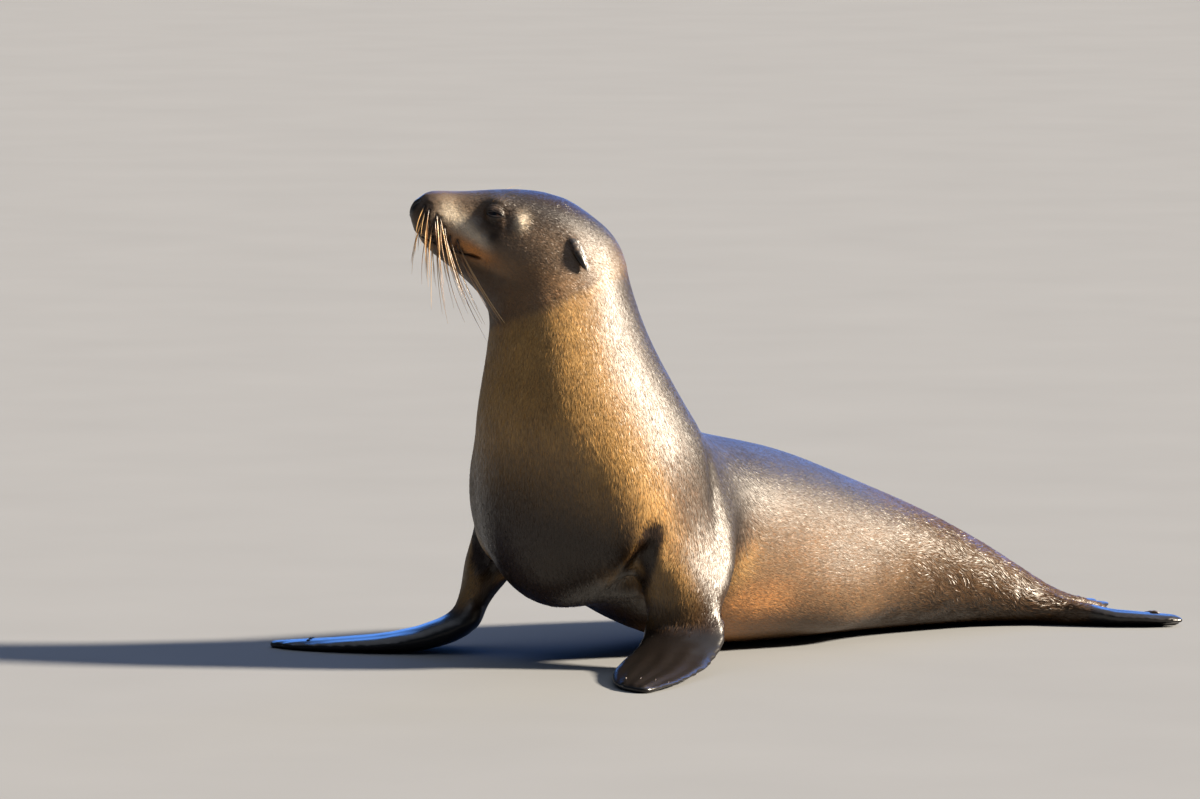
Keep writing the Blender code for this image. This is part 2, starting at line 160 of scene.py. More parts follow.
def spot(forward, up, at, width, stretch=(1, 1)):
    """1 at a place on the side of the head, and falling off round it, further where it is stretched."""
    return bell(np.hypot((forward - at[0]) / stretch[0], (up - at[1]) / stretch[1]), 0, width)


eyes_at = (middle_of("eye_left") + middle_of("eye_right")) / 2
turn = (
    Matrix.Rotation(HEAD_YAW, 4, "Z")
    @ Matrix.Rotation(HEAD_PITCH, 4, "Y")
    @ Matrix.Rotation(math.pi, 4, "Z")
)
head_origin = eyes_at - turn.to_3x3() @ Vector((EYE_AHEAD, 0, EYE_ABOVE))
EYE_SIDE = (middle_of("eye_left") - middle_of("eye_right")).length / 2
HEAD_AT = np.array(head_origin)
HEAD_AXES = np.array(turn.to_3x3())  # columns: forward, left, up
HEAD = Matrix.Translation(head_origin) @ turn


def in_head(place):
    """Points as forward, left and up from the middle of the head."""
    return (place - HEAD_AT) @ HEAD_AXES


def from_head(place):
    """The way back from in_head."""
    return HEAD_AT + place @ HEAD_AXES.T


def one_side(p):
    """Points of both sides of the head, all carried over to its left."""
    return p * [1, 0, 1] + np.abs(p) * [0, 1, 0]


def softened(mesh, place, share, rounds):
    """Points moved towards the mean of their neighbours, by a share of the way each round."""
    count = len(place)
    a, b = read(mesh.edges, "vertices", 2, np.int32).T
    degree = np.bincount(a, minlength=count) + np.bincount(b, minlength=count)
    share = np.broadcast_to(share, count)
    for _ in range(rounds):
        total = [np.bincount(a, column[b], count) + np.bincount(b, column[a], count) for column in place.T]
        total = np.stack(total, axis=1)
        place = place + share[:, None] * (total / degree[:, None] - place)
    return place


def divide(mesh, chosen):
    """Halves the grain of a mesh wherever chosen, a rule on the points, holds."""
    inside = chosen(vertices_of(mesh))
    build = bmesh.new()
    build.from_mesh(mesh)
    edges = [e for e in build.edges if inside[e.verts[0].index] and inside[e.verts[1].index]]
    bmesh.ops.subdivide_edges(build, edges=edges, cuts=1, use_grid_fill=True, use_single_edge=True)
    build.to_mesh(mesh)
    build.free()
    mesh.update()


def on_head(place):
    """Whether points lie on the head, in front of the nape and above the throat."""
    forward, _, up = in_head(place).T
    return (forward > -0.175) & (up + 0.45 * (forward + 0.06) > -0.150)


def on_face(place):
    """Whether points lie on the muzzle, round the eyes or round the ears."""
    forward, left, up = in_head(place).T
    front = (forward > -0.024) & (up > -0.100)
    ear = (np.abs(forward + 0.100) < 0.026) & (np.abs(left) > 0.040) & (np.abs(up + 0.004) < 0.028)
    return front | ear


def on_fine_face(place):
    """Whether points lie on the nose, the lips, the whisker pads or the lids."""
    forward, left, up = in_head(place).T
    snout = (forward > 0.078) & (up > -0.066)
    lips = (forward > -0.008) & (np.abs(up + 0.059) < 0.008)
    lid = np.hypot(forward - EYE_AHEAD, up - EYE_ABOVE) < 0.0175
    return snout | lips | (lid & (np.abs(left) > 0.02))


FORE_FLIPPERS = ("fore_flipper_left", "fore_flipper_right")
HIND_FLIPPERS = ("hind_flipper_left", "hind_flipper_right")
FLIPPERS = FORE_FLIPPERS + HIND_FLIPPERS
RIM_SEARCH = 0.02  # m beyond its place that a point of a flipper's rim looks for the outline


def in_box(place, node, margin):
    """Whether points lie in the box of a solid, or within a margin of it."""
    low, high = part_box(node)
    return ((place > np.array(low) - margin) & (place < np.array(high) + margin)).all(axis=1)


def on_flipper(place):
    """Whether points lie on a flipper, with the wrist or the ankle."""
    return np.any([in_box(place, node, 0.01) for node in FLIPPERS], axis=0)


def surface_of_solids():
    """A search tree over all the solids, and the name of the solid that each of its faces is from."""
    points, faces, owner = [], [], []
    for name in sorted(nodes):
        mesh = nodes[name].data
        start = len(points)
        points.extend(v.co.copy() for v in mesh.vertices)
        faces.extend([start + i for i in p.vertices] for p in mesh.polygons)
        owner.extend([name] * len(mesh.polygons))
    return BVHTree.FromPolygons(points, faces), owner


solids, solid_names = surface_of_solids()


def flipper_frame(node):
    """The middle of a flipper, its directions along, across and out, and its half width along it."""
    place = np.array([v.co for v in nodes[node].data.vertices])
    middle = place.mean(axis=0)
    axes = np.linalg.svd(place - middle, full_matrices=False)[2]
    limb = node.replace("fore_flipper", "arm").replace("hind_flipper", "hind_leg")
    if axes[0] @ (middle - np.array(middle_of(limb))) < 0:
        axes[0] = -axes[0]
    along, across = (place - middle) @ axes[0], (place - middle) @ axes[1]
    steps = np.linspace(along.min(), along.max(), 9)
    share = [np.abs(across[np.abs(along - step) < 0.12 * (steps[-1] - steps[0])]).max() for step in steps]
    return middle, axes, steps, share


def drawn_to_solids(mesh, place, chosen, swell, rounds):
    """Thin parts brought back to the edges of the solids, which the first even grain cut short."""
    place = place + normals_of(mesh) * (swell * chosen)[:, None]
    for _ in range(rounds):
        for i in np.nonzero(chosen)[0]:
            place[i] = solids.find_nearest(Vector(place[i]))[0]
        place = softened(mesh, place, np.where(chosen, 0.5, 0.0), 1)
    return place


def out_to_edges(mesh, place):
    """The rims of the flippers carried out to the true outline, in the plane of each flipper."""
    out = softened(mesh, normals_of(mesh), 0.5, 3)
    for node in FLIPPERS:
        flat = flipper_frame(node)[1][2]
        aside = out - np.outer(out @ flat, flat)
        size = np.linalg.norm(aside, axis=1)
        for i in np.nonzero(in_box(place, node, 0.003) & (size > 0.7))[0]:
            way = Vector(aside[i] / size[i])
            hit, _, _, gap = solids.ray_cast(Vector(place[i]) + way * RIM_SEARCH, -way)
            if hit and 0.4 * RIM_SEARCH < gap < 1.1 * RIM_SEARCH:
                place[i] = hit
    return place


# The trunk is smoothed most, so that its solids run together. The head and the flippers keep their form,
# and are smoothed a little after each time that their grain is halved.
skin = fused_flesh()
place = vertices_of(skin.data)
thin = on_flipper(place)
place = softened(skin.data, place, np.where(thin | on_head(place), 0.0, 0.5), 18)
place = softened(skin.data, place, np.where(thin, 0.0, 0.5), 4)
put_vertices(skin.data, place)
divide(skin.data, lambda p: on_head(p) | on_flipper(p))
place = vertices_of(skin.data)
thin = on_flipper(place)
place = drawn_to_solids(skin.data, place, thin, 0.002, 3)
place = out_to_edges(skin.data, place)
place = softened(skin.data, place, np.where(thin, 0.4, 0.5), 4)
forward = in_head(place)[:, 0]
place = softened(skin.data, place, 0.5 * ramp(forward, 0.03, -0.03) * ~thin, 14)
place = softened(skin.data, place, 0.5 * ramp(forward, 0.02, 0.04) * on_head(place), 3)
put_vertices(skin.data, place)
for rule, rounds in ((on_face, 6), (on_fine_face, 8)):
    divide(skin.data, rule)
    place = vertices_of(skin.data)
    place = softened(skin.data, place, np.where(on_face(place), 0.5, 0.0), rounds)
    put_vertices(skin.data, place)


# The relief of the skin. The face has the lips, the nostrils and the lids, which are shaped on the
# skin point by point, as a modeller pushes clay.

EYE_RADIUS = 0.0150
EYE_BULGE = 0.035  # how far the window of the eye stands out, as a share of that radius
EYE_WINDOW = 0.0060  # m from the middle of the window to where most of that is gone
LID_HALF = 0.0105  # m from the middle of the eye's slit to its corner
LID_ABOVE = 0.0034  # m that the slit opens above its middle, and below it
LID_BELOW = 0.0029
LID_LIFT = 0.0005  # m that the rim of the lids stands off the eyeball
LID_THICK = 0.0013  # m more that the lid rises behind its rim
LID_POCKET = 0.0030  # m inside the eyeball's surface, where the skin passes behind it
LID_FOLDS = (  # of each fold: depth, height over the slit, bow, width, shift along it, and where it ends
    (0.0008, 0.0098, -22, 0.0008, 0, (0.016, 0.010)),
    (0.0006, -0.0082, 20, 0.0008, 0, (0.015, 0.009)),
    (0.0006, -0.0122, 12, 0.0010, 0.002, (0.016, 0.009)),
)
EYE_OUT = Vector((0.24, 0.96, 0.10)).normalized()  # the way the eye looks: forward, left, up
EYE_FORE = (Vector((1, 0, 0)) - EYE_OUT * EYE_OUT.x).normalized()
EYE_UP = EYE_FORE.cross(EYE_OUT)


def eye_slit(a):
    """How high the middle, the upper and the lower edge of the slit lie, at a from its middle."""
    lens = np.clip(1 - (a / LID_HALF) ** 2, 0, 1) ** 0.75
    middle = -0.0012 * a / LID_HALF
    return middle, middle + LID_ABOVE * lens, middle - LID_BELOW * lens


def from_slit(a, b):
    """How far outside the slit points lie: a along it and b up from its middle."""
    _, top, bottom = eye_slit(a)
    return np.hypot(np.maximum(np.abs(a) - LID_HALF, 0), np.maximum(np.maximum(b - top, bottom - b), 0))


def shape_lids(p):
    """The two eyes: the slit, the rims and the folds round them. p is in the frame of the head."""
    fore, out, up = np.array(EYE_FORE), np.array(EYE_OUT), np.array(EYE_UP)
    centre = np.array([EYE_AHEAD, EYE_SIDE, EYE_ABOVE])
    for side in (1, -1):
        v = p * [1, side, 1] - centre
        r = np.linalg.norm(v, axis=1)
        i = np.nonzero((r < 0.034) & (v @ out > 0.002))[0]
        v, r = v[i], r[i]
        a = EYE_RADIUS * np.arctan2(v @ fore, v @ out)
        b = EYE_RADIUS * np.arcsin(np.clip(v @ up / r, -1, 1))
        middle, top, bottom = eye_slit(a)
        open_here = np.abs(a) < LID_HALF
        inside = np.where(open_here, np.minimum(top - b, b - bottom), -1.0)
        depth = np.where(inside > 0, inside, -from_slit(a, b))
        close = open_here & (np.abs(depth) < 0.0006)
        b = np.where(close, np.where(b > middle, top, bottom), b)
        depth = np.where(close, 0.0, depth)
        rim = EYE_RADIUS + LID_LIFT + LID_THICK * (1 - np.exp(np.minimum(depth, 0) / 0.0016))
        target = r + bell(np.minimum(depth, 0), 0, 0.0045) * (rim - r)
        cover = ramp(np.hypot(v @ fore, v @ up), 0.0190, 0.0125)
        target = np.maximum(target, r + cover * (rim - r))
        for deep, height, bow, wide, shift, ends in LID_FOLDS:
            target -= deep * bell(b, height + bow * a**2, wide) * ramp(np.abs(a + shift), *ends)
        target = np.where(inside > 0.0006, EYE_RADIUS - LID_POCKET, target)
        a, b = a[:, None] / EYE_RADIUS, b[:, None] / EYE_RADIUS
        ray = np.cos(b) * (np.sin(a) * fore + np.cos(a) * out) + np.sin(b) * up
        p[i] = (centre + ray * target[:, None]) * [1, side, 1]
    return p


WHISKER_ROWS = (4, 5, 7, 8, 7)  # whiskers in each row of the pad, from the upper row down


def whisker_spots():
    """Forward and up of the root of each whisker, with its row and its place in the row."""
    for row, count in enumerate(WHISKER_ROWS):
        for i in range(count):
            stagger = 0.0016 * math.sin(5.0 * row + 2.3 * i)
            yield row, i, 0.0895 - 0.0078 * i - 0.0014 * row + stagger, -0.0195 - 0.0068 * row - 0.0018 * i


def furrow(forward, up):
    """1 in the pit of each whisker, falling off to 0 round it, and slower below it."""
    deep = np.zeros(len(forward))
    for _, _, ahead, high in whisker_spots():
        below = up - high
        reach = np.where(below < 0, 0.0042, 0.0014)
        deep = np.maximum(deep, np.exp(-(((forward - ahead) / 0.0014) ** 2) - (below / reach) ** 2))
    return deep


def lip_level(forward):
    """The height of the line between the lips."""
    return -0.0590 + 0.0036 * bell(forward, 0.004, 0.024) + 0.0020 * ramp(forward, 0.050, 0.085)


ROUND_THE_EYE = (  # m that the skin rises, the place forward and up, the width, and how it is stretched
    (-0.0036, (0.022, -0.006), 0.0100),  # the hollow in front of the eye
    (-0.0026, (0.008, -0.021), 0.0105),  # the hollow below it
    (0.0016, (0.006, 0.0170), 0.0060, (1.7, 1)),  # the brow
    (0.0030, (-0.0270, 0.0040), 0.0085),  # the pad of flesh behind the eye
    (-0.0012, (-0.0145, -0.006), 0.0035, (1, 2.2)),  # the groove between the eye and that pad
)


def push_on_head(p, out):
    """How far each point of the head moves along its own way out: lips, nostrils, folds."""
    forward, side, up = one_side(p).T
    push = np.zeros(len(p))
    # the line of the mouth, a little open at its corner
    lips = ramp(forward, 0.002, 0.008) * (up < -0.03)
    off = up - lip_level(forward)
    corner = bell(forward, 0.013, 0.008)
    push -= lips * (0.0032 + 0.0030 * corner) * bell(off, 0, 0.0010 + 0.0009 * corner)
    push += lips * 0.0010 * bell(off, 0.0045, 0.0028)
    push += lips * 0.0004 * bell(off, -0.0050, 0.0032)
    push -= 0.0012 * bell(forward, -0.004, 0.004) * bell(up, -0.060, 0.009)
    # two slanting nostrils, with a raised wing above each, and the cleft under them
    front = ramp(forward, 0.082, 0.090)
    low, high = np.array([0.0042, -0.0335]), np.array([0.0120, -0.0170])
    along = np.clip(((side - low[0]) * (high - low)[0] + (up - low[1]) * (high - low)[1])
                    / ((high - low) @ (high - low)), 0, 1)
    gap = np.hypot(side - low[0] - along * (high - low)[0], up - low[1] - along * (high - low)[1])
    push -= front * 0.0050 * bell(gap, 0, 0.0015)
    push += front * 0.0008 * bell(gap, 0.0042, 0.0016)
    wing = np.sqrt((forward - 0.094) ** 2 + (side - 0.0105) ** 2 + (up + 0.0085) ** 2)
    push += 0.0016 * bell(wing, 0, 0.0050)
    push -= front * 0.0012 * bell(side, 0, 0.0011) * ramp(up, -0.034, -0.038) * ramp(up, -0.056, -0.052)
    for rise, *form in ROUND_THE_EYE:
        push += rise * spot(forward, up, *form)
    # the fine wrinkles behind the eye and below it
    behind = np.arctan2(-(up - EYE_ABOVE), -(forward - EYE_AHEAD))
    ring = np.hypot(forward - EYE_AHEAD, up - EYE_ABOVE)
    wrinkles = np.cos(ring / 0.0029 * 2 * math.pi)
    push += 0.0005 * wrinkles * bell(behind, 1.0, 0.75) * bell(ring, 0.0175, 0.0045)
    # the soft edge of the whisker pad, and a pit with a furrow below it at the root of each whisker
    push -= 0.0014 * bell(forward, 0.036, 0.0060) * bell(up, -0.034, 0.0160)
    push -= 0.0012 * furrow(forward, up)
    # the crown and the bridge of the nose, which the smoothing wore down
    bridge = ramp(forward, -0.120, -0.060) * ramp(forward, 0.100, 0.085)
    push += 0.0036 * ramp(out[:, 2], 0.30, 0.75) * bridge
    return push


place = vertices_of(skin.data)
p = in_head(place)
out = normals_of(skin.data) @ HEAD_AXES
on_it = on_head(place)
p[on_it] += out[on_it] * push_on_head(p[on_it], out[on_it])[:, None]
p[on_it] = shape_lids(p[on_it].copy())
from_eye = one_side(p) - [EYE_AHEAD, EYE_SIDE, EYE_ABOVE]
aside = np.linalg.norm(from_eye - np.outer(from_eye @ np.array(EYE_OUT), EYE_OUT), axis=1)
round_eye = ramp(aside, 0.0108, 0.0125) * ramp(aside, 0.030, 0.020)
round_eye = round_eye * (np.linalg.norm(from_eye, axis=1) < 0.034)
place = softened(skin.data, from_head(p), 0.5 * round_eye, 5)
put_vertices(skin.data, place)


# The body has a hollow under each arm, a crease behind each shoulder, and webbed digits in the flippers.
# Each line is measured on the animal's left, and the right is its mirror. The flank sags where it rests.

ARMPIT = (
    (-0.389, -0.193, 0.173), (-0.391, -0.187, 0.153), (-0.392, -0.177, 0.134),
    (-0.388, -0.163, 0.114), (-0.367, -0.130, 0.093),
)
SHOULDER = (
    (-0.266, -0.160, 0.285), (-0.278, -0.183, 0.250), (-0.283, -0.197, 0.205),
    (-0.290, -0.208, 0.160), (-0.300, -0.218, 0.115),
)
MIDLINE = 2 * middle_of("trunk").y  # what y and its mirror add up to
DIGITS = 5  # in each flipper


def near_line(place, line, mirrored):
    """How far each point is from a line, and how far along the line that is, from 0 to 1."""
    line = np.array(line)
    if mirrored:
        line[:, 1] = MIDLINE - line[:, 1]
    nearest, along = np.full(len(place), 9.0), np.zeros(len(place))
    for i, (a, b) in enumerate(zip(line, line[1:])):
        t = np.clip((place - a) @ (b - a) / ((b - a) @ (b - a)), 0, 1)
        gap = np.linalg.norm(place - a - t[:, None] * (b - a), axis=1)
        closer = gap < nearest
        nearest[closer], along[closer] = gap[closer], (i + t[closer]) / (len(line) - 1)
    return nearest, along


def from_armpit(place):
    """How far points are from the nearer armpit."""
    return np.minimum(near_line(place, ARMPIT, False)[0], near_line(place, ARMPIT, True)[0])


def by_armpit(place):
    """Whether points lie near the hollow under an arm."""
    return from_armpit(place) < 0.035


def digits(place, node):
    """0 on the back of each digit of a flipper and 1 between two, and how far along the flipper, 0 to 1."""
    middle, axes, steps, share = flipper_frame(node)
    along, across = (place - middle) @ axes[0], (place - middle) @ axes[1]
    width = np.interp(along, steps, share)
    between = 0.5 + 0.5 * np.cos(math.pi * DIGITS * (across / width + 1))
    reach = (along - steps[0]) / (steps[-1] - steps[0])
    return between * in_box(place, node, 0.004), reach, axes[0]


divide(skin.data, by_armpit)
place = vertices_of(skin.data)
out = normals_of(skin.data)
push = np.zeros(len(place))
sag = bell(place[:, 0], -0.01, 0.085) * bell(place[:, 2], 0.055, 0.058)
push += 0.020 * sag * ramp(np.abs(out[:, 1]), 0.2, 0.8)
for y in (-0.200, MIDLINE + 0.200):  # the muscle of each arm
    muscle = np.linalg.norm((place - [-0.345, y, 0.104]) / [0.030, 0.050, 0.040], axis=1)
    push += 0.011 * bell(muscle, 0, 1.0)
for mirrored in (False, True):
    gap, along = near_line(place, ARMPIT, mirrored)
    push -= (0.003 + 0.020 * ramp(along, 0, 0.8)) * bell(gap, 0, 0.009 + 0.008 * along)
    gap, along = near_line(place, SHOULDER, mirrored)
    push -= 0.0045 * bell(gap, 0, 0.011) * bell(along, 0.5, 0.5)
for node in FORE_FLIPPERS:
    between, reach, _ = digits(place, node)
    push -= 0.0011 * between * ramp(reach, 0.15, 0.45) * ramp(out[:, 2], 0.3, 0.8)
for node in HIND_FLIPPERS:
    between, reach, ahead = digits(place, node)
    push -= 0.0022 * between * ramp(reach, 0.05, 0.30) * ramp(out[:, 2], 0.2, 0.7)
    place -= np.outer(0.016 * between**2 * ramp(reach, 0.72, 1.0), ahead)
place = place + out * push[:, None]
place = softened(skin.data, place, 0.4 * by_armpit(place), 4)
put_vertices(skin.data, place)


# The ears. Each is a small drooping cone of thin bare skin, rolled up on itself, that points back and
# down. It grows out of the skin, so it is made with it and fused to it.

EAR_ROOT = Vector((-0.0880, 0.0520, 0.0095))  # m forward, left and up from the middle of the head
EAR_TIP = Vector((-0.1225, 0.0745, -0.0210))
EAR_BOW = 0.0030  # m that the ear arches outwards
EAR_WALL = 0.0016
EAR_SLIT = 0.10 * math.pi  # which way the slit faces, round the ear from its upper side
EAR_STEPS, ROLL_STEPS = 14, 16


def ear_mesh(side):
    """One rolled ear, as a shell with a slit along its lower side."""
    build = bmesh.new()
    along = (EAR_TIP - EAR_ROOT).normalized()
    across = along.cross(Vector((0, 1, 0))).normalized()
    out = across.cross(along)
    rings = []
    for i in range(EAR_STEPS + 1):
        t = i / EAR_STEPS
        middle = EAR_ROOT.lerp(EAR_TIP, t) + out * (EAR_BOW * 4 * t * (1 - t))
        wide = 0.0052 * (1 + 0.15 * math.sin(math.pi * t)) * (1 - 0.25 * t) * math.sqrt(1 - 0.96 * t**6)
        slit = 0.16 + 0.22 * t
        ring = []
        for inner in (False, True):
            turns = range(ROLL_STEPS + 1)
            for k in reversed(turns) if inner else turns:
                share = k / ROLL_STEPS
                angle = EAR_SLIT + slit + share * (2 * math.pi - 2 * slit)
                reach = wide * (1.0 + 0.22 * share) - (EAR_WALL * (1 - 0.6 * t) if inner else 0)
                reach = max(reach, wide * 0.35)
                at = middle + across * (math.cos(angle) * reach) + out * (math.sin(angle) * reach * 0.80)
                ring.append(build.verts.new(HEAD @ Vector((at.x, side * at.y, at.z))))
        rings.append(ring)
    count = len(rings[0])
    for near, far in zip(rings, rings[1:]):
        for k in range(count):
            build.faces.new((near[k], near[(k + 1) % count], far[(k + 1) % count], far[k]))
    for ring in (rings[0], rings[-1]):
        for k in range(ROLL_STEPS):
            build.faces.new((ring[k], ring[k + 1], ring[count - 2 - k], ring[count - 1 - k]))
    bmesh.ops.recalc_face_normals(build, faces=build.faces[:])
    mesh = bpy.data.meshes.new("ear")
    build.to_mesh(mesh)
    build.free()
    return mesh


for side in (1, -1):
    ear = new_piece("ear", ear_mesh(side))
    round_off = ear.modifiers.new("round_off", "SUBSURF")
    round_off.levels = 1
    round_off.render_levels = 1
    apply_all(ear)
    fuse = skin.modifiers.new("fuse_ear", "BOOLEAN")
    fuse.operation = "UNION"
    fuse.solver = "EXACT"
    fuse.object = ear
    apply_all(skin)
    bpy.data.objects.remove(ear)
place = vertices_of(skin.data)
near_root = np.linalg.norm(one_side(in_head(place)) - (np.array(EAR_ROOT) + [-0.004, 0.006, -0.004]), axis=1)
place = softened(skin.data, place, 0.45 * ramp(near_root, 0.013, 0.008), 3)
put_vertices(skin.data, place)


# The markings. The coat is dark brown above, paler down the sides and tan on the throat and the chest,
# with an orange-tan belly. The nose, the lips, the ears and the flippers are nearly bare and almost black.
# Each point of the skin knows how far it has each of these, and which way its hair lies.

LIE = {  # the way the hair lies on each solid, in the frame of the whole animal
    "neck": Vector((0.10, 0.0, -1.0)),
    "chest": Vector((0.22, 0.0, -1.0)),
    "trunk": Vector((1.0, -0.05, -0.25)),
    "rump": Vector((1.0, -0.30, -0.65)),
    "tail": Vector((1.0, -0.42, -0.10)),
}
for part in ("head", "lower_jaw", "nose", "ear_left", "ear_right", "eye_left", "eye_right"):
    LIE[part] = HEAD.to_3x3() @ Vector((-1.0, 0.0, -0.25))
for word in ("left", "right"):
    down_arm = middle_of("fore_flipper_" + word) - middle_of("arm_" + word)
    LIE["arm_" + word] = down_arm * Vector((0.7, 0.7, 1.6))
    LIE["fore_flipper_" + word] = down_arm * Vector((1, 1, 0.2))
    down_leg = middle_of("hind_flipper_" + word) - middle_of("hind_leg_" + word)
    LIE["hind_leg_" + word] = LIE["hind_flipper_" + word] = down_leg
LIE = {name: np.array(way.normalized()) for name, way in LIE.items()}
SPREAD = 60  # rounds that blend the lie of neighbouring solids


def unit(rows):
    """Rows made one long."""
    return rows / np.maximum(np.linalg.norm(rows, axis=1), 1e-9)[:, None]


place = vertices_of(skin.data)
out = normals_of(skin.data)
label = np.array([solid_names[solids.find_nearest(Vector(at))[2]] for at in place])


def is_on(*parts):
    """1 at the points of the skin that lie on these solids, 0 elsewhere."""
    return np.isin(label, parts).astype(float)


def blended(values, rounds):
    """Values of the points, blended with those of their neighbours."""
    return softened(skin.data, values.reshape(len(place), -1), 0.5, rounds).reshape(values.shape)


def mark(mesh, name, values):
    """A number for each point of a mesh, which its material reads by this name."""
    layer = mesh.attributes.new(name, "FLOAT", "POINT")
    layer.data.foreach_set("value", np.asarray(values).astype(np.float32))


lie = blended(np.array([LIE[name] for name in label]), SPREAD)
lie = unit(lie - out * (lie * out).sum(axis=1)[:, None])

# Where the skin is bare: on the nose pad, the lips, the rims of the lids, the ears and the flippers.
p = one_side(in_head(place))
forward, side, up = p.T
face = blended(is_on("head", "lower_jaw", "nose", "ear_left", "ear_right", "eye_left", "eye_right"), 10)
column = blended(is_on("neck", "chest", "arm_left", "arm_right"), 30)

ears = blended(is_on("ear_left", "ear_right"), 2)
ear_distance = np.full(len(place), 1.0)
for t in np.linspace(0.25, 1.0, 6):
    ear_distance = np.minimum(ear_distance, np.linalg.norm(p - np.array(EAR_ROOT.lerp(EAR_TIP, t)), axis=1))
from_eye = p - [EYE_AHEAD, EYE_SIDE, EYE_ABOVE]
gap = from_slit(from_eye @ np.array(EYE_FORE), from_eye @ np.array(EYE_UP))
at_eye = ramp(np.linalg.norm(from_eye, axis=1), 0.034, 0.026) * ramp(gap, 0.0032, 0.0010)
nose_pad = ramp(np.hypot(side / 0.0175, (up + 0.0235) / 0.0165), 1.10, 0.90) * ramp(forward, 0.080, 0.088)
lips = bell(up, lip_level(forward), 0.0016) * ramp(forward, 0.002, 0.010) * (face > 0.5)
rolled_ear = ramp(ear_distance, 0.0082, 0.0070) * ears
blade = ramp(blended(is_on(*FLIPPERS), 90), 0.10, 0.85)
bare = np.clip(np.maximum.reduce([nose_pad, lips, at_eye, rolled_ear, blade]), 0, 1)

# How far down each point faces: from the spine on the trunk, from the nape on the neck and the head.
limbs = blended(is_on("arm_left", "arm_right", *FORE_FLIPPERS), 30)
head_down = 0.5 - up / 0.10
trunk_down = 0.5 - 0.55 * out[:, 2]
column_down = 0.5 - 0.62 * (out[:, 0] * 0.92 + out[:, 2] * 0.4 - 0.22 * out[:, 1])
under = np.clip(face * head_down + (1 - face) * (column * column_down + (1 - column) * trunk_down), 0, 1)
under = np.clip(blended(under, 6), 0, 1) * (1 - 0.22 * limbs)

# The pale patches: the belly, a band of pale fur down the cheek with a painted highlight along it, a painted
# highlight on the pad behind the eye, and the corner of the lips.
belly = (1 - face) * (1 - 0.5 * column) * ramp(place[:, 2], 0.110, 0.060) * bell(place[:, 0], -0.21, 0.075)
# The band down the cheek: pale fur, with a painted highlight along it.
slope = np.clip((forward - 0.010) / 0.050, 0, 1)
band = (0.85 - 0.10 * slope) * spot(forward, up, (0.010 + 0.050 * slope, -0.036 + 0.021 * slope), 0.0120)
band = band * face * ramp(up, -0.054, -0.042)
# Painted highlight: the pale spot on the pad of flesh behind the eye.
pale_fur_and_painted_highlight = np.maximum(band, 0.95 * spot(forward, up, (-0.0275, 0.0065), 0.0085, (1, 1.2)) * (side > 0.015))
tan_lip = bell(forward, 0.016, 0.026) * bell(up, -0.0480 + 0.10 * (forward - 0.018), 0.0095) * face

# Where the hair is darker. Soaked hair at the wrists and on the crown. Painted shade on the chest where it
# faces forward or down, most of it low down, on the front of the arms, in the armpits, round the eye over its
# dark wet skin, under the jaw and in the pits at the whiskers' roots. Darker too at the front of the muzzle
# and, less so, at the back of the rump.
height = place[:, 2] + 0.045 * np.array([noise.noise(Vector(at) * 7) for at in place])
# Painted shade: 1 where the chest faces forward, away from the key lamp, or faces down.
turned_away = np.maximum(ramp(out[:, 0], -0.10, -0.60), ramp(out[:, 2], -0.05, -0.50))
low_down = np.maximum(ramp(height, 0.38, 0.16), 0.55 * ramp(height, 0.62, 0.42))
soaked_and_shaded = np.maximum.reduce([
    # painted shade on the chest's front and underside, most of it low down
    column * turned_away * (1 - 0.85 * limbs) * low_down,
    0.9 * limbs * ramp(height, 0.135, 0.060),
    # painted shade on the front of the arms, which faces away from the key lamp
    0.65 * limbs * ramp(out[:, 0], -0.25, -0.80) * ramp(height, 0.28, 0.18),
    # painted shade in the armpits
    ramp(from_armpit(place), 0.028, 0.013),
])
# Painted shade from the brow, over dark wet skin: darker in the hollow in front of the eye and below it.
hollow = spot(forward, up, (0.004, -0.007), 0.0165, (1.15, 1)) ** 0.8
hollow = np.maximum(hollow, spot(forward, up, (-0.001, -0.022), 0.0115, (1, 1.2)))
# Painted shade under the jaw, and darker at the front of the muzzle.
jaw = 0.65 * ramp(up, -0.060, -0.070) * ramp(forward, -0.060, -0.020) + 0.55 * ramp(forward, 0.074, 0.090)
crown = 0.85 * ramp(up, 0.022, 0.046) * ramp(forward, -0.140, -0.090)
# Painted shade in the pit at each whisker's root.
roots = np.minimum(1.4 * furrow(forward, up) ** 0.4, 1) * (side > 0.004)
soaked_and_shaded = np.clip(soaked_and_shaded + face * (crown + hollow * (side > 0.015) + jaw + roots), 0, 1)
rump = ramp(place[:, 0] - 0.35 * height, -0.06, 0.20) * (1 - column)
soaked_and_shaded = np.maximum(soaked_and_shaded, 0.6 * rump)
markings = {"rump": rump, "bare": bare, "under": under, "belly": belly, "pale_fur_and_painted_highlight": pale_fur_and_painted_highlight, "tan_lip": tan_lip,
            "soaked_and_shaded": soaked_and_shaded, "face": face, "column": column}
for name, values in markings.items():
    mark(skin.data, name, values)
mark(skin.data, "shade", np.full(len(place), 0.45))

# The hide lies inside the solids by the depth of the coat, except where it is bare.
COAT_DEPTH = 0.0012  # m on the body, and half of it on the face
place = place - out * (COAT_DEPTH * (1 - 0.5 * face) * (1 - bare))[:, None]
place[:, 2] = np.maximum(place[:, 2], 0.0002 * (1 - bare))
put_vertices(skin.data, place)
skin.data.shade_smooth()


# The finish of the hide and the coat. Short wet hair under a thin film of water has a broad silky sheen,
# broken by the strands. Where it is soaked, and where shade is painted on, it is darker and less bright, and
# bare skin is almost black.

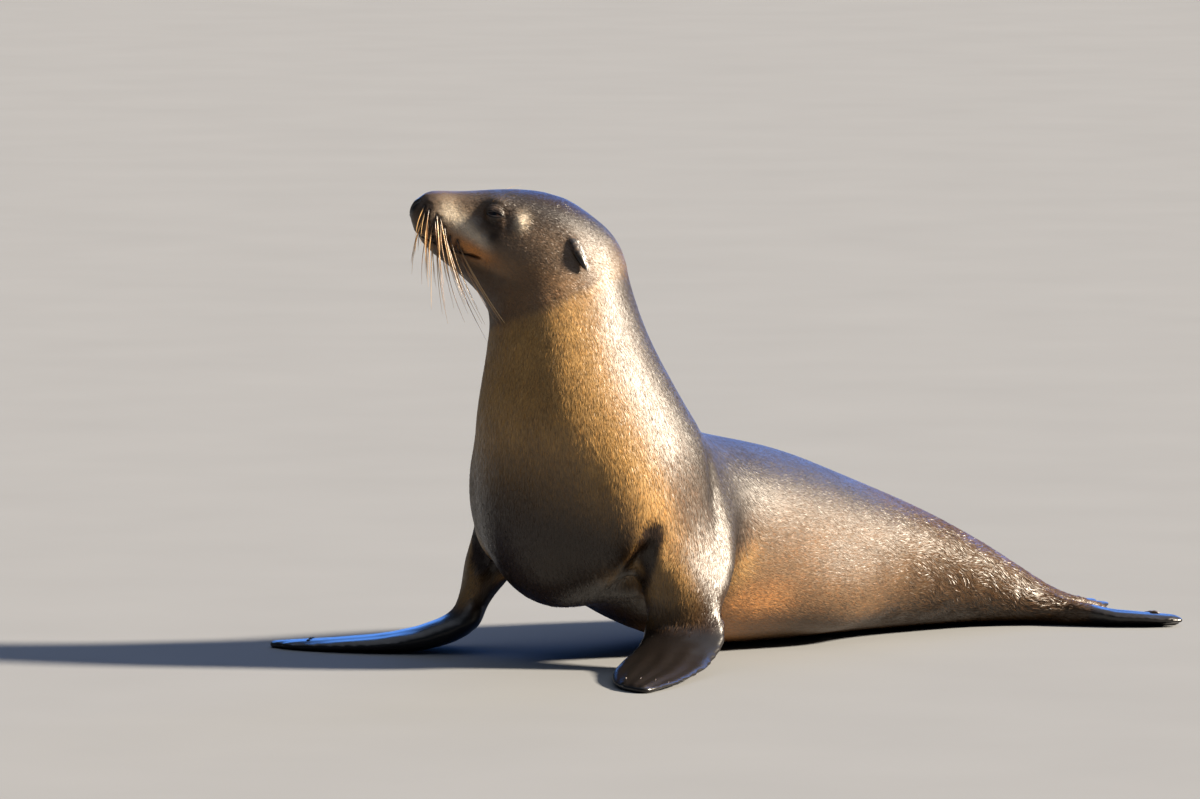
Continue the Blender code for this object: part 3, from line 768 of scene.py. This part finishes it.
def linear(colour):
    """An sRGB hex colour as linear red, green, blue and alpha."""
    parts = [int(colour[i:i + 2], 16) / 255 for i in (1, 3, 5)]
    return (*[c / 12.92 if c <= 0.04045 else ((c + 0.055) / 1.055) ** 2.4 for c in parts], 1.0)


def feed(tree, node, inputs):
    """Values, hex colours or links for the inputs of a node."""
    for key, value in inputs.items():
        if isinstance(value, bpy.types.NodeSocket):
            tree.links.new(value, node.inputs[key])
        else:
            node.inputs[key].default_value = linear(value) if isinstance(value, str) else value


def add(tree, kind, settings=None, inputs=None, output=0):
    """One node with its settings and its inputs. It gives back one of the node's outputs."""
    node = tree.nodes.new("ShaderNode" + kind)
    for key, value in (settings or {}).items():
        setattr(node, key, value)
    feed(tree, node, inputs or {})
    return node.outputs[output]


def new_material(name):
    """An empty node material and its shader."""
    finish = bpy.data.materials.new(name)
    finish.use_nodes = True
    shader = finish.node_tree.nodes["Principled BSDF"]
    return finish, finish.node_tree, shader


SMOOTHLY = {"interpolation_type": "SMOOTHSTEP"}  # how a share goes from one end to the other


def laid_over(tree, colour, tint, share, span=None, ends=(0.0, 1.0), blend="MIX"):
    """A colour with a tint over it, by a share. With a span, the share goes smoothly from one end to the
    other while the number given for it crosses the span."""
    if span:
        share = add(tree, "MapRange", SMOOTHLY, {"Value": share, "From Min": span[0], "From Max": span[1],
                                                 "To Min": ends[0], "To Max": ends[1]})
    return add(tree, "Mix", {"data_type": "RGBA", "blend_type": blend}, {0: share, 6: colour, 7: tint}, 2)


STRAND = 900  # per m: wet hairs cling in strands about a millimetre apart
STRAND_LONG = 110  # per m: and such a strand is about a centimetre long
BLOTCH = 22  # per m: uneven patches of darker hair about 45 mm across
MARKINGS = (*markings, "shade")  # what the finish reads from each piece of the hide and the coat


def strands(tree, where, of):
    """Fine streaks along the lie of the hair: back along the trunk, down the neck and the chest, and along
    the head, one pattern fading into the next."""
    streak = None
    for turned, marking in (((0, 0, 8), None), ((0, 90, 0), "column"), ((0, -20, -135), "face")):
        turned = [math.radians(angle) for angle in turned]
        along = add(tree, "Mapping", {"vector_type": "TEXTURE"}, {"Vector": where, "Rotation": turned})
        stretched = add(tree, "Mapping", {}, {"Vector": along, "Scale": (STRAND_LONG, STRAND, STRAND)})
        grain = add(tree, "TexNoise", {}, {"Vector": stretched, "Scale": 1.0, "Detail": 2.0,
                                           "Roughness": 0.55})
        if marking:
            grain = add(tree, "Mix", {"data_type": "FLOAT"}, {0: of[marking], 2: streak, 3: grain})
        streak = grain
    return streak


def coat_finish(name, roughness, film, depth):
    """Wet sea lion hair over its hide. The same markings serve the hide and the tufts. depth is painted
    shade:
    it darkens the ground that shows between the tufts."""
    finish, tree, shader = new_material(name)
    where = add(tree, "TexCoord", output="Object")
    of = {each: add(tree, "Attribute", {"attribute_name": each}, output="Fac") for each in MARKINGS}
    streak = strands(tree, where, of)
    blotch = add(tree, "TexNoise", {}, {"Vector": where, "Scale": BLOTCH, "Detail": 4.0, "Roughness": 0.6})
    tan = laid_over(tree, "#6a5238", "#e8b66c", of["column"])
    head = laid_over(tree, "#1d1917", "#66533f", of["under"], (0.15, 0.62))
    head = laid_over(tree, head, "#7d5f3c", of["under"], (0.75, 1.0))
    colour = "#241e1b"
    for layer in (
        ("#5f4a34", of["under"], (0.10, 0.50)),
        (tan, of["under"], (0.36, 0.68)),
        ("#c78c52", of["belly"]),
        ("#533a14", of["rump"]),
        (head, of["face"]),
        # pale fur on the cheek, and painted highlight there and behind the eye
        ("#f6e6cd", of["pale_fur_and_painted_highlight"]),
        ("#d98f42", of["tan_lip"]),
        ("#1d1611", blotch, (0.35, 0.68), (0.25, 0.0)),
        ("#241a12", streak, (0.35, 0.62), (0.40, 0.0)),
        ("#e0b888", of["shade"], (0.5, 1.0), (0.0, 0.55), "SOFT_LIGHT"),
        ("#120d0a", of["shade"], (0.0, 0.4), (0.38, 0.0)),
        # soaked hair and painted shade
        ("#25170a", of["soaked_and_shaded"]),
        # painted shade on the ground between the tufts
        ("#0c0805", depth),
        ("#110d0b", of["bare"]),
    ):
        colour = laid_over(tree, colour, *layer)
    rough, slicked, gloss = [
        add(tree, "MapRange", SMOOTHLY, {"Value": value, "From Min": low, "From Max": high,
                                         "To Min": first, "To Max": last})
        for value, low, high, first, last in (
            (streak, 0.35, 0.70, roughness - 0.08, roughness + 0.12),
            (of["soaked_and_shaded"], 0.0, 1.0, 1.0, 0.65),
            (of["soaked_and_shaded"], 0.0, 1.0, film, 0.2 * film),
        )
    ]
    rough = add(tree, "Math", {"operation": "MULTIPLY"}, {0: rough, 1: slicked})
    rough = add(tree, "Mix", {"data_type": "FLOAT"}, {0: of["bare"], 2: rough, 3: 0.30})
    bump = add(tree, "Bump", {}, {"Height": streak, "Strength": 0.35, "Distance": 0.0005})
    feed(tree, shader, {"Base Color": colour, "Roughness": rough, "Normal": bump, "Coat Normal": bump,
                        "Coat Weight": gloss})
    feed(tree, shader, {"IOR": 1.55, "Specular IOR Level": 0.34, "Coat IOR": 1.60, "Coat Roughness": 0.46})
    return finish


# Wet hide with short hair: a slightly darker ground, painted shade which gives the coat its depth between the
# tufts.
hide_finish = coat_finish("wet_hide_with_short_hair", 0.50, 0.35, 0.15)
# Wet guard hair: the broad silky sheen of the neck and the back, light and dark from strand to strand.
tuft_finish = coat_finish("wet_guard_hair", 0.50, 0.27, 0.0)
skin.data.materials.append(hide_finish)
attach(skin, "root")
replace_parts(skin, *[name for name in sorted(nodes) if not name.startswith("eye_")])


# The eyes. Each is a ball with a clear bulge over a dark brown iris and a black pupil. It turns in
# its socket, so it is a piece of its own and doesn't touch the lids.

SIDES = (("left", 1), ("right", -1))  # each side's word, and its sign across the head
IRIS_FLECK = 900  # per m: flecks of about a millimetre in the brown


def eye_ball(name, side):
    """One eyeball, with the window of the eye bulging a little."""
    deselect()
    bpy.ops.mesh.primitive_uv_sphere_add(segments=64, ring_count=48, radius=EYE_RADIUS)
    ball = bpy.context.view_layer.objects.active
    ball.name = name
    look = Vector((EYE_OUT.x, side * EYE_OUT.y, EYE_OUT.z))
    centre = HEAD @ Vector((EYE_AHEAD, side * EYE_SIDE, EYE_ABOVE))
    turned = HEAD.to_3x3() @ look
    ball.data.transform(turned.to_track_quat("Z", "Y").to_matrix().to_4x4())
    from_pupil = [vertex.co.angle(turned) * EYE_RADIUS for vertex in ball.data.vertices]
    mark(ball.data, "from_pupil", from_pupil)
    for vertex, gap in zip(ball.data.vertices, from_pupil):
        vertex.co *= 1 + EYE_BULGE * math.exp(-((gap / EYE_WINDOW) ** 2))
    ball.data.transform(Matrix.Translation(centre))
    ball.data.shade_smooth()
    ball.data.materials.append(eye_finish)
    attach(ball, "root")
    return ball


# Wet cornea over a dark iris: brown that is almost black, with one small hard point of light.
eye_finish, tree, shader = new_material("wet_cornea_over_dark_iris")
from_pupil = add(tree, "Attribute", {"attribute_name": "from_pupil"}, output="Fac")
where = add(tree, "TexCoord", output="Object")
fleck = add(tree, "TexNoise", {}, {"Vector": where, "Scale": IRIS_FLECK, "Detail": 3.0})
iris = laid_over(tree, "#140c07", "#2a190e", fleck, (0.3, 0.7))
iris = laid_over(tree, "#030202", iris, from_pupil, (0.0022, 0.0030))
iris = laid_over(tree, iris, "#0c0807", from_pupil, (0.0066, 0.0074))
iris = laid_over(tree, iris, "#201713", from_pupil, (0.0090, 0.0110))
feed(tree, shader, {"Base Color": iris, "Roughness": 0.06, "IOR": 1.38, "Coat Weight": 1.0,
                    "Coat Roughness": 0.02})
for word, side in SIDES:
    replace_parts(eye_ball("eyeball_" + word, side), "eye_" + word)


# The rims of the lids. A narrow bead of wet black skin edges the slit all round, and closes against
# the eyeball.

RIM_STEPS, RIM_AROUND = 56, 8
RIM_THICK = 0.00085  # m from the middle of the bead to its surface
RIM_GRAIN = 1200  # per m: the finest folds of the lid, less than a millimetre apart


def tube(path, radii, around):
    """The points and faces of a tapered tube along a path, closed or with both ends shut."""
    build_points, build_faces = [], []
    way = unit(np.gradient(path, axis=0))
    helper = np.array([0.0, 0.0, 1.0]) if abs(way[0][2]) < 0.9 else np.array([1.0, 0.0, 0.0])
    across = np.cross(way[0], helper)
    for i, (at, ahead, radius) in enumerate(zip(path, way, radii)):
        across = across - ahead * (across @ ahead)
        across = across / np.linalg.norm(across)
        third = np.cross(ahead, across)
        for k in range(around):
            angle = 2 * math.pi * k / around
            build_points.append(at + radius * (math.cos(angle) * across + math.sin(angle) * third))
        if i:
            for k in range(around):
                a, b = (i - 1) * around + k, (i - 1) * around + (k + 1) % around
                build_faces.append((a, b, b + around, a + around))
    build_faces.append(tuple(reversed(range(around))))
    build_faces.append(tuple(range((len(path) - 1) * around, len(path) * around)))
    return build_points, build_faces


def mesh_of(name, points, faces):
    """A mesh from lists of points and faces."""
    mesh = bpy.data.meshes.new(name)
    mesh.from_pydata([tuple(point) for point in points], [], faces)
    mesh.validate()
    mesh.shade_smooth()
    return mesh


def lid_rim(side):
    """The bead round one eye."""
    path = []
    for i in range(RIM_STEPS + 1):
        angle = 2 * math.pi * i / RIM_STEPS
        a = LID_HALF * math.cos(angle)
        _, top, bottom = eye_slit(np.array(a))
        b = float(top if math.sin(angle) > 0 else bottom)
        a, b = a / EYE_RADIUS, b / EYE_RADIUS
        ray = (EYE_FORE * math.sin(a) + EYE_OUT * math.cos(a)) * math.cos(b) + EYE_UP * math.sin(b)
        at = Vector((EYE_AHEAD, EYE_SIDE, EYE_ABOVE)) + ray * (EYE_RADIUS + LID_LIFT)
        path.append(HEAD @ Vector((at.x, side * at.y, at.z)))
    return tube(np.array(path), [RIM_THICK] * len(path), RIM_AROUND)


# Wet black skin: a dark line with small glints, which sets the eye off from the hair.
rim_finish, tree, shader = new_material("wet_black_lid_rim")
where = add(tree, "TexCoord", output="Object")
grain = add(tree, "TexNoise", {}, {"Vector": where, "Scale": RIM_GRAIN, "Detail": 3.0})
bump = add(tree, "Bump", {}, {"Height": grain, "Strength": 0.3, "Distance": 0.0002})
black = laid_over(tree, "#0b0807", "#231a16", grain)
feed(tree, shader, {"Base Color": black, "Normal": bump, "Roughness": 0.22})
for word, side in SIDES:
    points, faces = lid_rim(side)
    rim = new_piece("lid_rim_" + word, mesh_of("lid_rim", points, faces))
    rim.data.materials.append(rim_finish)
    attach(rim, "root")


# The whiskers. Stiff pale hairs, thick where they leave the pad and fine at the tip, and darkened at the root
# with painted shade. They stand in five rows on each side, short in front and long behind, and droop.

WHISKER_STEPS, WHISKER_AROUND = 14, 5
WHISKER_THICK, BROW_THICK = 0.00074, 0.00028  # m, half of a hair's width at its root
BROW_HAIRS = ((0.006, 0.0170, 0.036), (0.001, 0.0185, 0.024), (0.013, 0.0150, 0.014))  # forward, up, length
HAIR_SUNK = 0.002  # m of each hair that is inside the skin
HAIR_TAPER = 0.86  # the share of its thickness that a hair loses by its tip
skin_tree = BVHTree.FromPolygons([v.co.copy() for v in skin.data.vertices],
                                 [tuple(face.vertices) for face in skin.data.polygons])
DOWN = np.array(HEAD.to_3x3().inverted() @ Vector((0, 0, -1)))
dice = np.random.default_rng(7)


def hair(root, start, finish, length, thick, steps, around):
    """A tapered hair that leaves its root one way and bends towards another. All in the head's frame."""
    way = unit(np.array([start, finish], float))
    path = [root - way[0] * HAIR_SUNK]
    for i in range(steps):
        share = min(1.0, (i + 1) / steps * 1.15)
        step = way[0] * (1 - share) + way[1] * share
        path.append(path[-1] + step / np.linalg.norm(step) * length / steps)
    radii = thick * (1 - HAIR_TAPER * np.linspace(0, 1, steps + 1) ** 1.1)
    return tube(from_head(np.array(path)), radii, around)


def gathered(name, hairs, around):
    """Several hairs as one mesh. Each point knows how far along its hair it is, and its hair's shade."""
    points, faces, along, shade = [], [], [], []
    for own_points, own_faces in hairs:
        start = len(points)
        points.extend(own_points)
        faces.extend([tuple(start + k for k in face) for face in own_faces])
        rings = len(own_points) // around
        along.extend(np.repeat(np.linspace(0, 1, rings), around))
        shade.extend([dice.random()] * len(own_points))
    mesh = mesh_of(name, points, faces)
    mark(mesh, "along", along)
    mark(mesh, "shade", shade)
    return new_piece(name, mesh)


def root_on_skin(forward, up, side):
    """The point of the skin at a place on the side of the head, in the head's frame."""
    start = HEAD @ Vector((forward, side * 0.12, up))
    hit = skin_tree.ray_cast(start, HEAD.to_3x3() @ Vector((0, -side, 0)))
    return in_head(np.array(hit[0])), np.array(hit[1]) @ HEAD_AXES


# Whisker horn: amber, from light to brown, with painted shade at the root, and a thin line of light along
# each hair.
whisker_finish, tree, shader = new_material("whisker_horn")
along, shade = [add(tree, "Attribute", {"attribute_name": each}, output="Fac") for each in ("along", "shade")]
amber = laid_over(tree, "#d2ab74", "#7e5226", shade)
# painted shade: each hair is dark at its root, where it leaves the pad
feed(tree, shader, {"Base Color": laid_over(tree, "#1c140e", amber, along, (0.04, 0.34)), "Roughness": 0.28,
                    "Specular IOR Level": 0.6})
for word, side in SIDES:
    hairs = []
    for row, i, forward, up in whisker_spots():
        back = (i + 0.3) / 7.3
        root, face_out = root_on_skin(forward, up, side)
        fan = side * (0.25 + dice.normal(0, 0.10))
        start = face_out * 0.55 + np.array([0.36 - 1.10 * back, 0, 0]) + DOWN
        end = np.array([0.08 - 0.25 * back - 1.10 * back**2 + dice.normal(0, 0.06), fan, 0]) + DOWN
        length = (0.050 + 0.105 * back) * (0.86 + 0.05 * row) * dice.uniform(0.75, 1.1)
        hairs.append(hair(root, start, end, length, WHISKER_THICK, WHISKER_STEPS, WHISKER_AROUND))
    whiskers = gathered("whiskers_" + word, hairs, WHISKER_AROUND)
    whiskers.data.materials.append(whisker_finish)
    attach(whiskers, "root")

# Above each eye stand three finer hairs.
for word, side in SIDES:
    hairs = []
    for forward, up, length in BROW_HAIRS:
        root, face_out = root_on_skin(forward, up, side)
        start = face_out * 0.5 + np.array([-0.1, 0, 0.8])
        end = np.array([-1.0, side * 0.15, 0.55])
        hairs.append(hair(root, start, end, length, BROW_THICK, WHISKER_STEPS, WHISKER_AROUND))
    brow = gathered("brow_hairs_" + word, hairs, WHISKER_AROUND)
    brow.data.materials.append(whisker_finish)
    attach(brow, "root")


# The nails. Each hind flipper has three slender nails, well back from its edge, and each fore flipper has
# four tiny ones. They are dark horn, half sunk in the skin.

NAIL_STEPS, NAIL_AROUND = 10, 8
NAIL_GRAIN = 700  # per m: growth marks about a millimetre and a half apart
NAILS = {  # the places across of the digits that have one; then its reach, its length and half its width
    "hind": ((-0.4, 0.0, 0.4), 0.66, 0.015, 0.0021),
    "fore": ((-0.4, 0.0, 0.4, 0.75), 0.80, 0.006, 0.0011),
}


def nail(node, digit, reach, length, thick):
    """One nail on top of a flipper. digit is its place across, from -1 to 1, and reach along, from 0 to 1."""
    middle, axes, steps, share = flipper_frame(node)
    start = steps[0] + reach * (steps[-1] - steps[0])
    path, radii = [], []
    for i in range(NAIL_STEPS + 1):
        t = i / NAIL_STEPS
        at = middle + axes[0] * (start + t * length) + axes[1] * digit * np.interp(start, steps, share)
        hit = skin_tree.ray_cast(Vector(at + [0, 0, 0.05]), Vector((0, 0, -1)))[0]
        path.append(np.array(hit) + [0, 0, thick * (0.9 * math.sin(math.pi * min(1, 1.15 * t)) - 0.3)])
        radii.append(thick * max(0.08, math.sin(math.pi * (0.12 + 0.80 * t)) ** 0.8) * (1 - 0.45 * t))
    return tube(np.array(path), radii, NAIL_AROUND)


# Dark horn, worn a little paler at its tip: an even low shine, which tells the nails from the skin.
nail_finish, tree, shader = new_material("dark_nail_horn")
along = add(tree, "Attribute", {"attribute_name": "along"}, output="Fac")
where = add(tree, "TexCoord", output="Object")
grain = add(tree, "TexNoise", {}, {"Vector": where, "Scale": NAIL_GRAIN, "Detail": 2.0})
horn = laid_over(tree, "#1e1612", "#33271d", grain)
feed(tree, shader, {"Base Color": laid_over(tree, horn, "#3d3024", along, (0.3, 1.0)), "Roughness": 0.30})
for word in ("left", "right"):
    for limb, (row, *size) in NAILS.items():
        each = [nail("%s_flipper_%s" % (limb, word), digit, *size) for digit in row]
        nails = gathered("nails_%s_%s" % (limb, word), each, NAIL_AROUND)
        nails.data.materials.append(nail_finish)
        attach(nails, "root")


# The coat. Wet guard hairs cling together in short flat locks, each about a centimetre long on the body
# and a few millimetres on the face. They lie along the skin, overlap, and follow the lie of the hair.

LOCKS = 345000
PIECES = 7  # the coat is parted by area into pieces of a size that exports well
LOCK_LONG = {"head": 0.0042, "lower_jaw": 0.0040, "nose": 0.0030, "neck": 0.0095, "chest": 0.0110,
             "trunk": 0.0090, "rump": 0.0110, "tail": 0.0090, "arm_left": 0.0080, "arm_right": 0.0080,
             "hind_leg_left": 0.0080, "hind_leg_right": 0.0080}
LOCK_SLIM = 0.060  # half a lock's width as a share of its length
LOCK_WAIST = 0.45  # where a lock is widest, from its root at 0 to its tip at 1
LOCK_RISE = 0.00030  # m that the tip of a lock stands over the skin
LOCK_ROUND = 0.22  # how far the two sides of a lock turn away from each other
LOCK_STRAY = 0.10  # how far each lock tips its own way

skin.data.calc_loop_triangles()
triangles = read(skin.data.loop_triangles, "vertices", 3, np.int32)
place = vertices_of(skin.data)
out = normals_of(skin.data)
corners = place[triangles]
area = np.linalg.norm(np.cross(corners[:, 1] - corners[:, 0], corners[:, 2] - corners[:, 0]), axis=1) / 2
length_at = blended(np.array([LOCK_LONG.get(name, 0.0050) for name in label]), 30)
snout = face * ramp(in_head(place)[:, 0], 0.02, 0.07)
length_at = length_at * (1 - 0.45 * snout)
hairy = (1 - bare) ** 2
wanted = area * hairy[triangles].mean(axis=1) / length_at[triangles].mean(axis=1) ** 1.75
wanted[corners[:, :, 2].mean(axis=1) < 0.0015] = 0  # none where the skin lies on the floor
chosen = dice.choice(len(triangles), LOCKS, p=wanted / wanted.sum())
chosen.sort()
u, v = dice.random(LOCKS), dice.random(LOCKS)
flip = u + v > 1
u[flip], v[flip] = 1 - u[flip], 1 - v[flip]
share = np.stack([1 - u - v, u, v], axis=1)


def at_roots(values):
    """Values of the skin's points, read at the root of each lock."""
    rows = values.reshape(len(values), -1)
    return (rows[triangles[chosen]] * share[:, :, None]).sum(axis=1).reshape(LOCKS, *values.shape[1:])


root = at_roots(place)
rise = unit(at_roots(out))
way = at_roots(lie)
way = unit(way - rise * (way * rise).sum(axis=1)[:, None])
across = np.cross(rise, way)
clump = at_roots(rump)
swirl = np.array([noise.noise(Vector(at) * 38) for at in root])
way = unit(way + across * (dice.normal(0, 0.14, LOCKS) + (0.35 + 0.9 * clump) * swirl)[:, None])
across = np.cross(rise, way)
long = at_roots(length_at) * dice.uniform(0.7, 1.35, LOCKS)
half = long * LOCK_SLIM * dice.uniform(0.65, 1.25, LOCKS)
lift = LOCK_RISE * (1 + 1.8 * clump) * dice.uniform(0.5, 1.3, LOCKS) * np.clip(long / 0.009, 0.35, 1.3)
middle = root + way * (long * LOCK_WAIST)[:, None]
end = root + way * long[:, None]
face_out = unit(np.array([out[list(each.vertices)].mean(axis=0) for each in skin.data.polygons]))
middle_out, end_out = rise.copy(), rise.copy()
for i in range(LOCKS):
    middle[i], _, near, _ = skin_tree.find_nearest(Vector(middle[i]))
    middle_out[i] = face_out[near]
    end[i], _, near, _ = skin_tree.find_nearest(Vector(end[i]))
    end_out[i] = face_out[near]
wide, lift = across * half[:, None], lift[:, None]
bulge = ((middle - (1 - LOCK_WAIST) * root - LOCK_WAIST * end) * middle_out).sum(axis=1)[:, None]
sunk = root - rise * lift * 0.3
tip = end + end_out * (lift + np.clip(bulge, 0, 0.0006) / LOCK_WAIST)
waist = (1 - LOCK_WAIST) * sunk + LOCK_WAIST * tip - middle_out * lift * 0.45
lock = np.stack((sunk, waist + wide, waist - wide, tip), axis=1)
lock[:, :, 2] = np.maximum(lock[:, :, 2], 0.0)
stray = (LOCK_STRAY * (1 + 2.0 * clump + 1.2 * at_roots(face)))[:, None]
stray = stray * (across * dice.normal(0, 1, (LOCKS, 1)) + way * dice.normal(0, 1, (LOCKS, 1)))
turned = across * LOCK_ROUND
facing = (rise + stray, middle_out + stray + turned, middle_out + stray - turned, end_out + stray)
facing = np.stack(facing, axis=1)
LOCK_FACES = np.array([(0, 3, 1), (0, 2, 3), (0, 1, 2), (1, 3, 2)])
PATCH = 0.003  # side of a lock's patch on the OFBake map
LOCK_MAP = np.array([(0, -1), (-1, 0), (1, 0), (0, 1)]) * PATCH / 2

pick(skin)
bpy.ops.object.mode_set(mode="EDIT")
bpy.ops.mesh.select_all(action="SELECT")
bpy.ops.uv.smart_project(angle_limit=math.radians(66), island_margin=0.002)
bpy.ops.object.mode_set(mode="OBJECT")
skin.data.uv_layers.active.name = "OFBake"
skin.data.calc_loop_triangles()
loops = read(skin.data.loop_triangles, "loops", 3, np.int32)
spread = read(skin.data.uv_layers["OFBake"].data, "uv", 2)
root_map = (spread[loops[chosen]] * share[:, :, None]).sum(axis=1)
root_map = np.clip(root_map, PATCH, 1 - PATCH)
own = {name: at_roots(values) for name, values in markings.items()}
own["shade"] = dice.random(LOCKS)
order = np.argsort(root[:, 0], kind="stable")
for number, members in enumerate(np.array_split(order, PIECES)):
    count = len(members)
    mesh = bpy.data.meshes.new("coat")
    mesh.vertices.add(count * 4)
    mesh.vertices.foreach_set("co", lock[members].astype(np.float32).ravel())
    faces = (LOCK_FACES[None] + 4 * np.arange(count)[:, None, None]).reshape(-1, 3)
    mesh.loops.add(faces.size)
    mesh.loops.foreach_set("vertex_index", faces.ravel().astype(np.int32))
    mesh.polygons.add(len(faces))
    mesh.polygons.foreach_set("loop_start", np.arange(0, faces.size, 3, dtype=np.int32))
    mesh.update(calc_edges=True)
    mesh.shade_smooth()
    mesh.normals_split_custom_set_from_vertices(unit(facing[members].reshape(-1, 3)).tolist())
    for name, values in own.items():
        mark(mesh, name, np.repeat(values[members], 4))
    flat = mesh.uv_layers.new(name="OFBake")
    patches = root_map[members][:, None, :] + LOCK_MAP[None]
    flat.data.foreach_set("uv", patches.reshape(-1, 2)[faces.ravel()].astype(np.float32).ravel())
    mesh.materials.append(tuft_finish)
    tufts = new_piece("coat_%d" % (number + 1), mesh)
    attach(tufts, "root")


# The floor, the light and the camera. The floor is plain and pale. A strong warm lamp stands above and to
# the right of the camera, a weak blue one behind the animal and a weak cool one overhead, in a dim room.

deselect()
bpy.ops.mesh.primitive_circle_add(vertices=96, radius=90, fill_type="NGON", location=(0, 0, 0))
floor = bpy.context.view_layer.objects.active
floor.name = "floor"
MOTTLE = 3  # per m: faint patches about a third of a metre across
# Pale matt paint: a plain ground that takes the shadow and has no shine.
floor_finish, tree, shader = new_material("pale_matt_paint")
where = add(tree, "TexCoord", output="Object")
mottle = add(tree, "TexNoise", {}, {"Vector": where, "Scale": MOTTLE, "Detail": 3.0})
feed(tree, shader, {"Base Color": laid_over(tree, "#6f7173", "#757779", mottle), "Roughness": 0.9,
                    "Specular IOR Level": 0.0})
floor.data.materials.append(floor_finish)


def sun(name, towards, strength, angle, colour):
    """A broad distant lamp. towards points from the animal to the lamp."""
    lamp = bpy.data.lights.new(name, "SUN")
    lamp.energy = strength
    lamp.angle = math.radians(angle)
    lamp.color = linear(colour)[:3]
    holder = bpy.data.objects.new(name, lamp)
    bpy.context.scene.collection.objects.link(holder)
    holder.rotation_euler = Vector(towards).to_track_quat("Z", "Y").to_euler()
    return holder


sun("key", (0.50, -0.66, 0.47), 19.0, 7, "#ffefd8")
sun("rim", (0.78, 0.50, 0.36), 1.8, 50, "#5f9dff")
sun("fill", (0.10, -0.10, 1.0), 1.3, 90, "#e9f0ff")
world = bpy.data.worlds.new("room")
bpy.context.scene.world = world
world.use_nodes = True
tree = world.node_tree
room = tree.nodes["Background"]
feed(tree, room, {"Color": "#a9cbf2", "Strength": 0.09})
wall = add(tree, "Background", {}, {"Color": "#c9c7c4", "Strength": 1.0})
seen = add(tree, "LightPath", output="Is Camera Ray")
both = add(tree, "MixShader", {}, {"Fac": seen, 1: room.outputs[0], 2: wall})
feed(tree, tree.nodes["World Output"], {"Surface": both})

CAMERA_AZIMUTH, CAMERA_ELEVATION = math.radians(-45), math.radians(5)
CAMERA_DISTANCE = 12.35
CAMERA_AIM = Vector((-0.3295, -0.0437, 0.3228))
back = Vector((
    math.sin(CAMERA_AZIMUTH) * math.cos(CAMERA_ELEVATION),
    -math.cos(CAMERA_AZIMUTH) * math.cos(CAMERA_ELEVATION),
    math.sin(CAMERA_ELEVATION),
))
lens = bpy.data.cameras.new("camera")
lens.lens = 300
lens.sensor_width = 36
lens.clip_end = 300
camera = bpy.data.objects.new("camera", lens)
bpy.context.scene.collection.objects.link(camera)
camera.location = CAMERA_AIM + back * CAMERA_DISTANCE
camera.rotation_euler = back.to_track_quat("Z", "Y").to_euler()
bpy.context.scene.camera = camera
bpy.context.scene.view_settings.view_transform = "Standard"
bpy.context.scene.view_settings.look = "None"
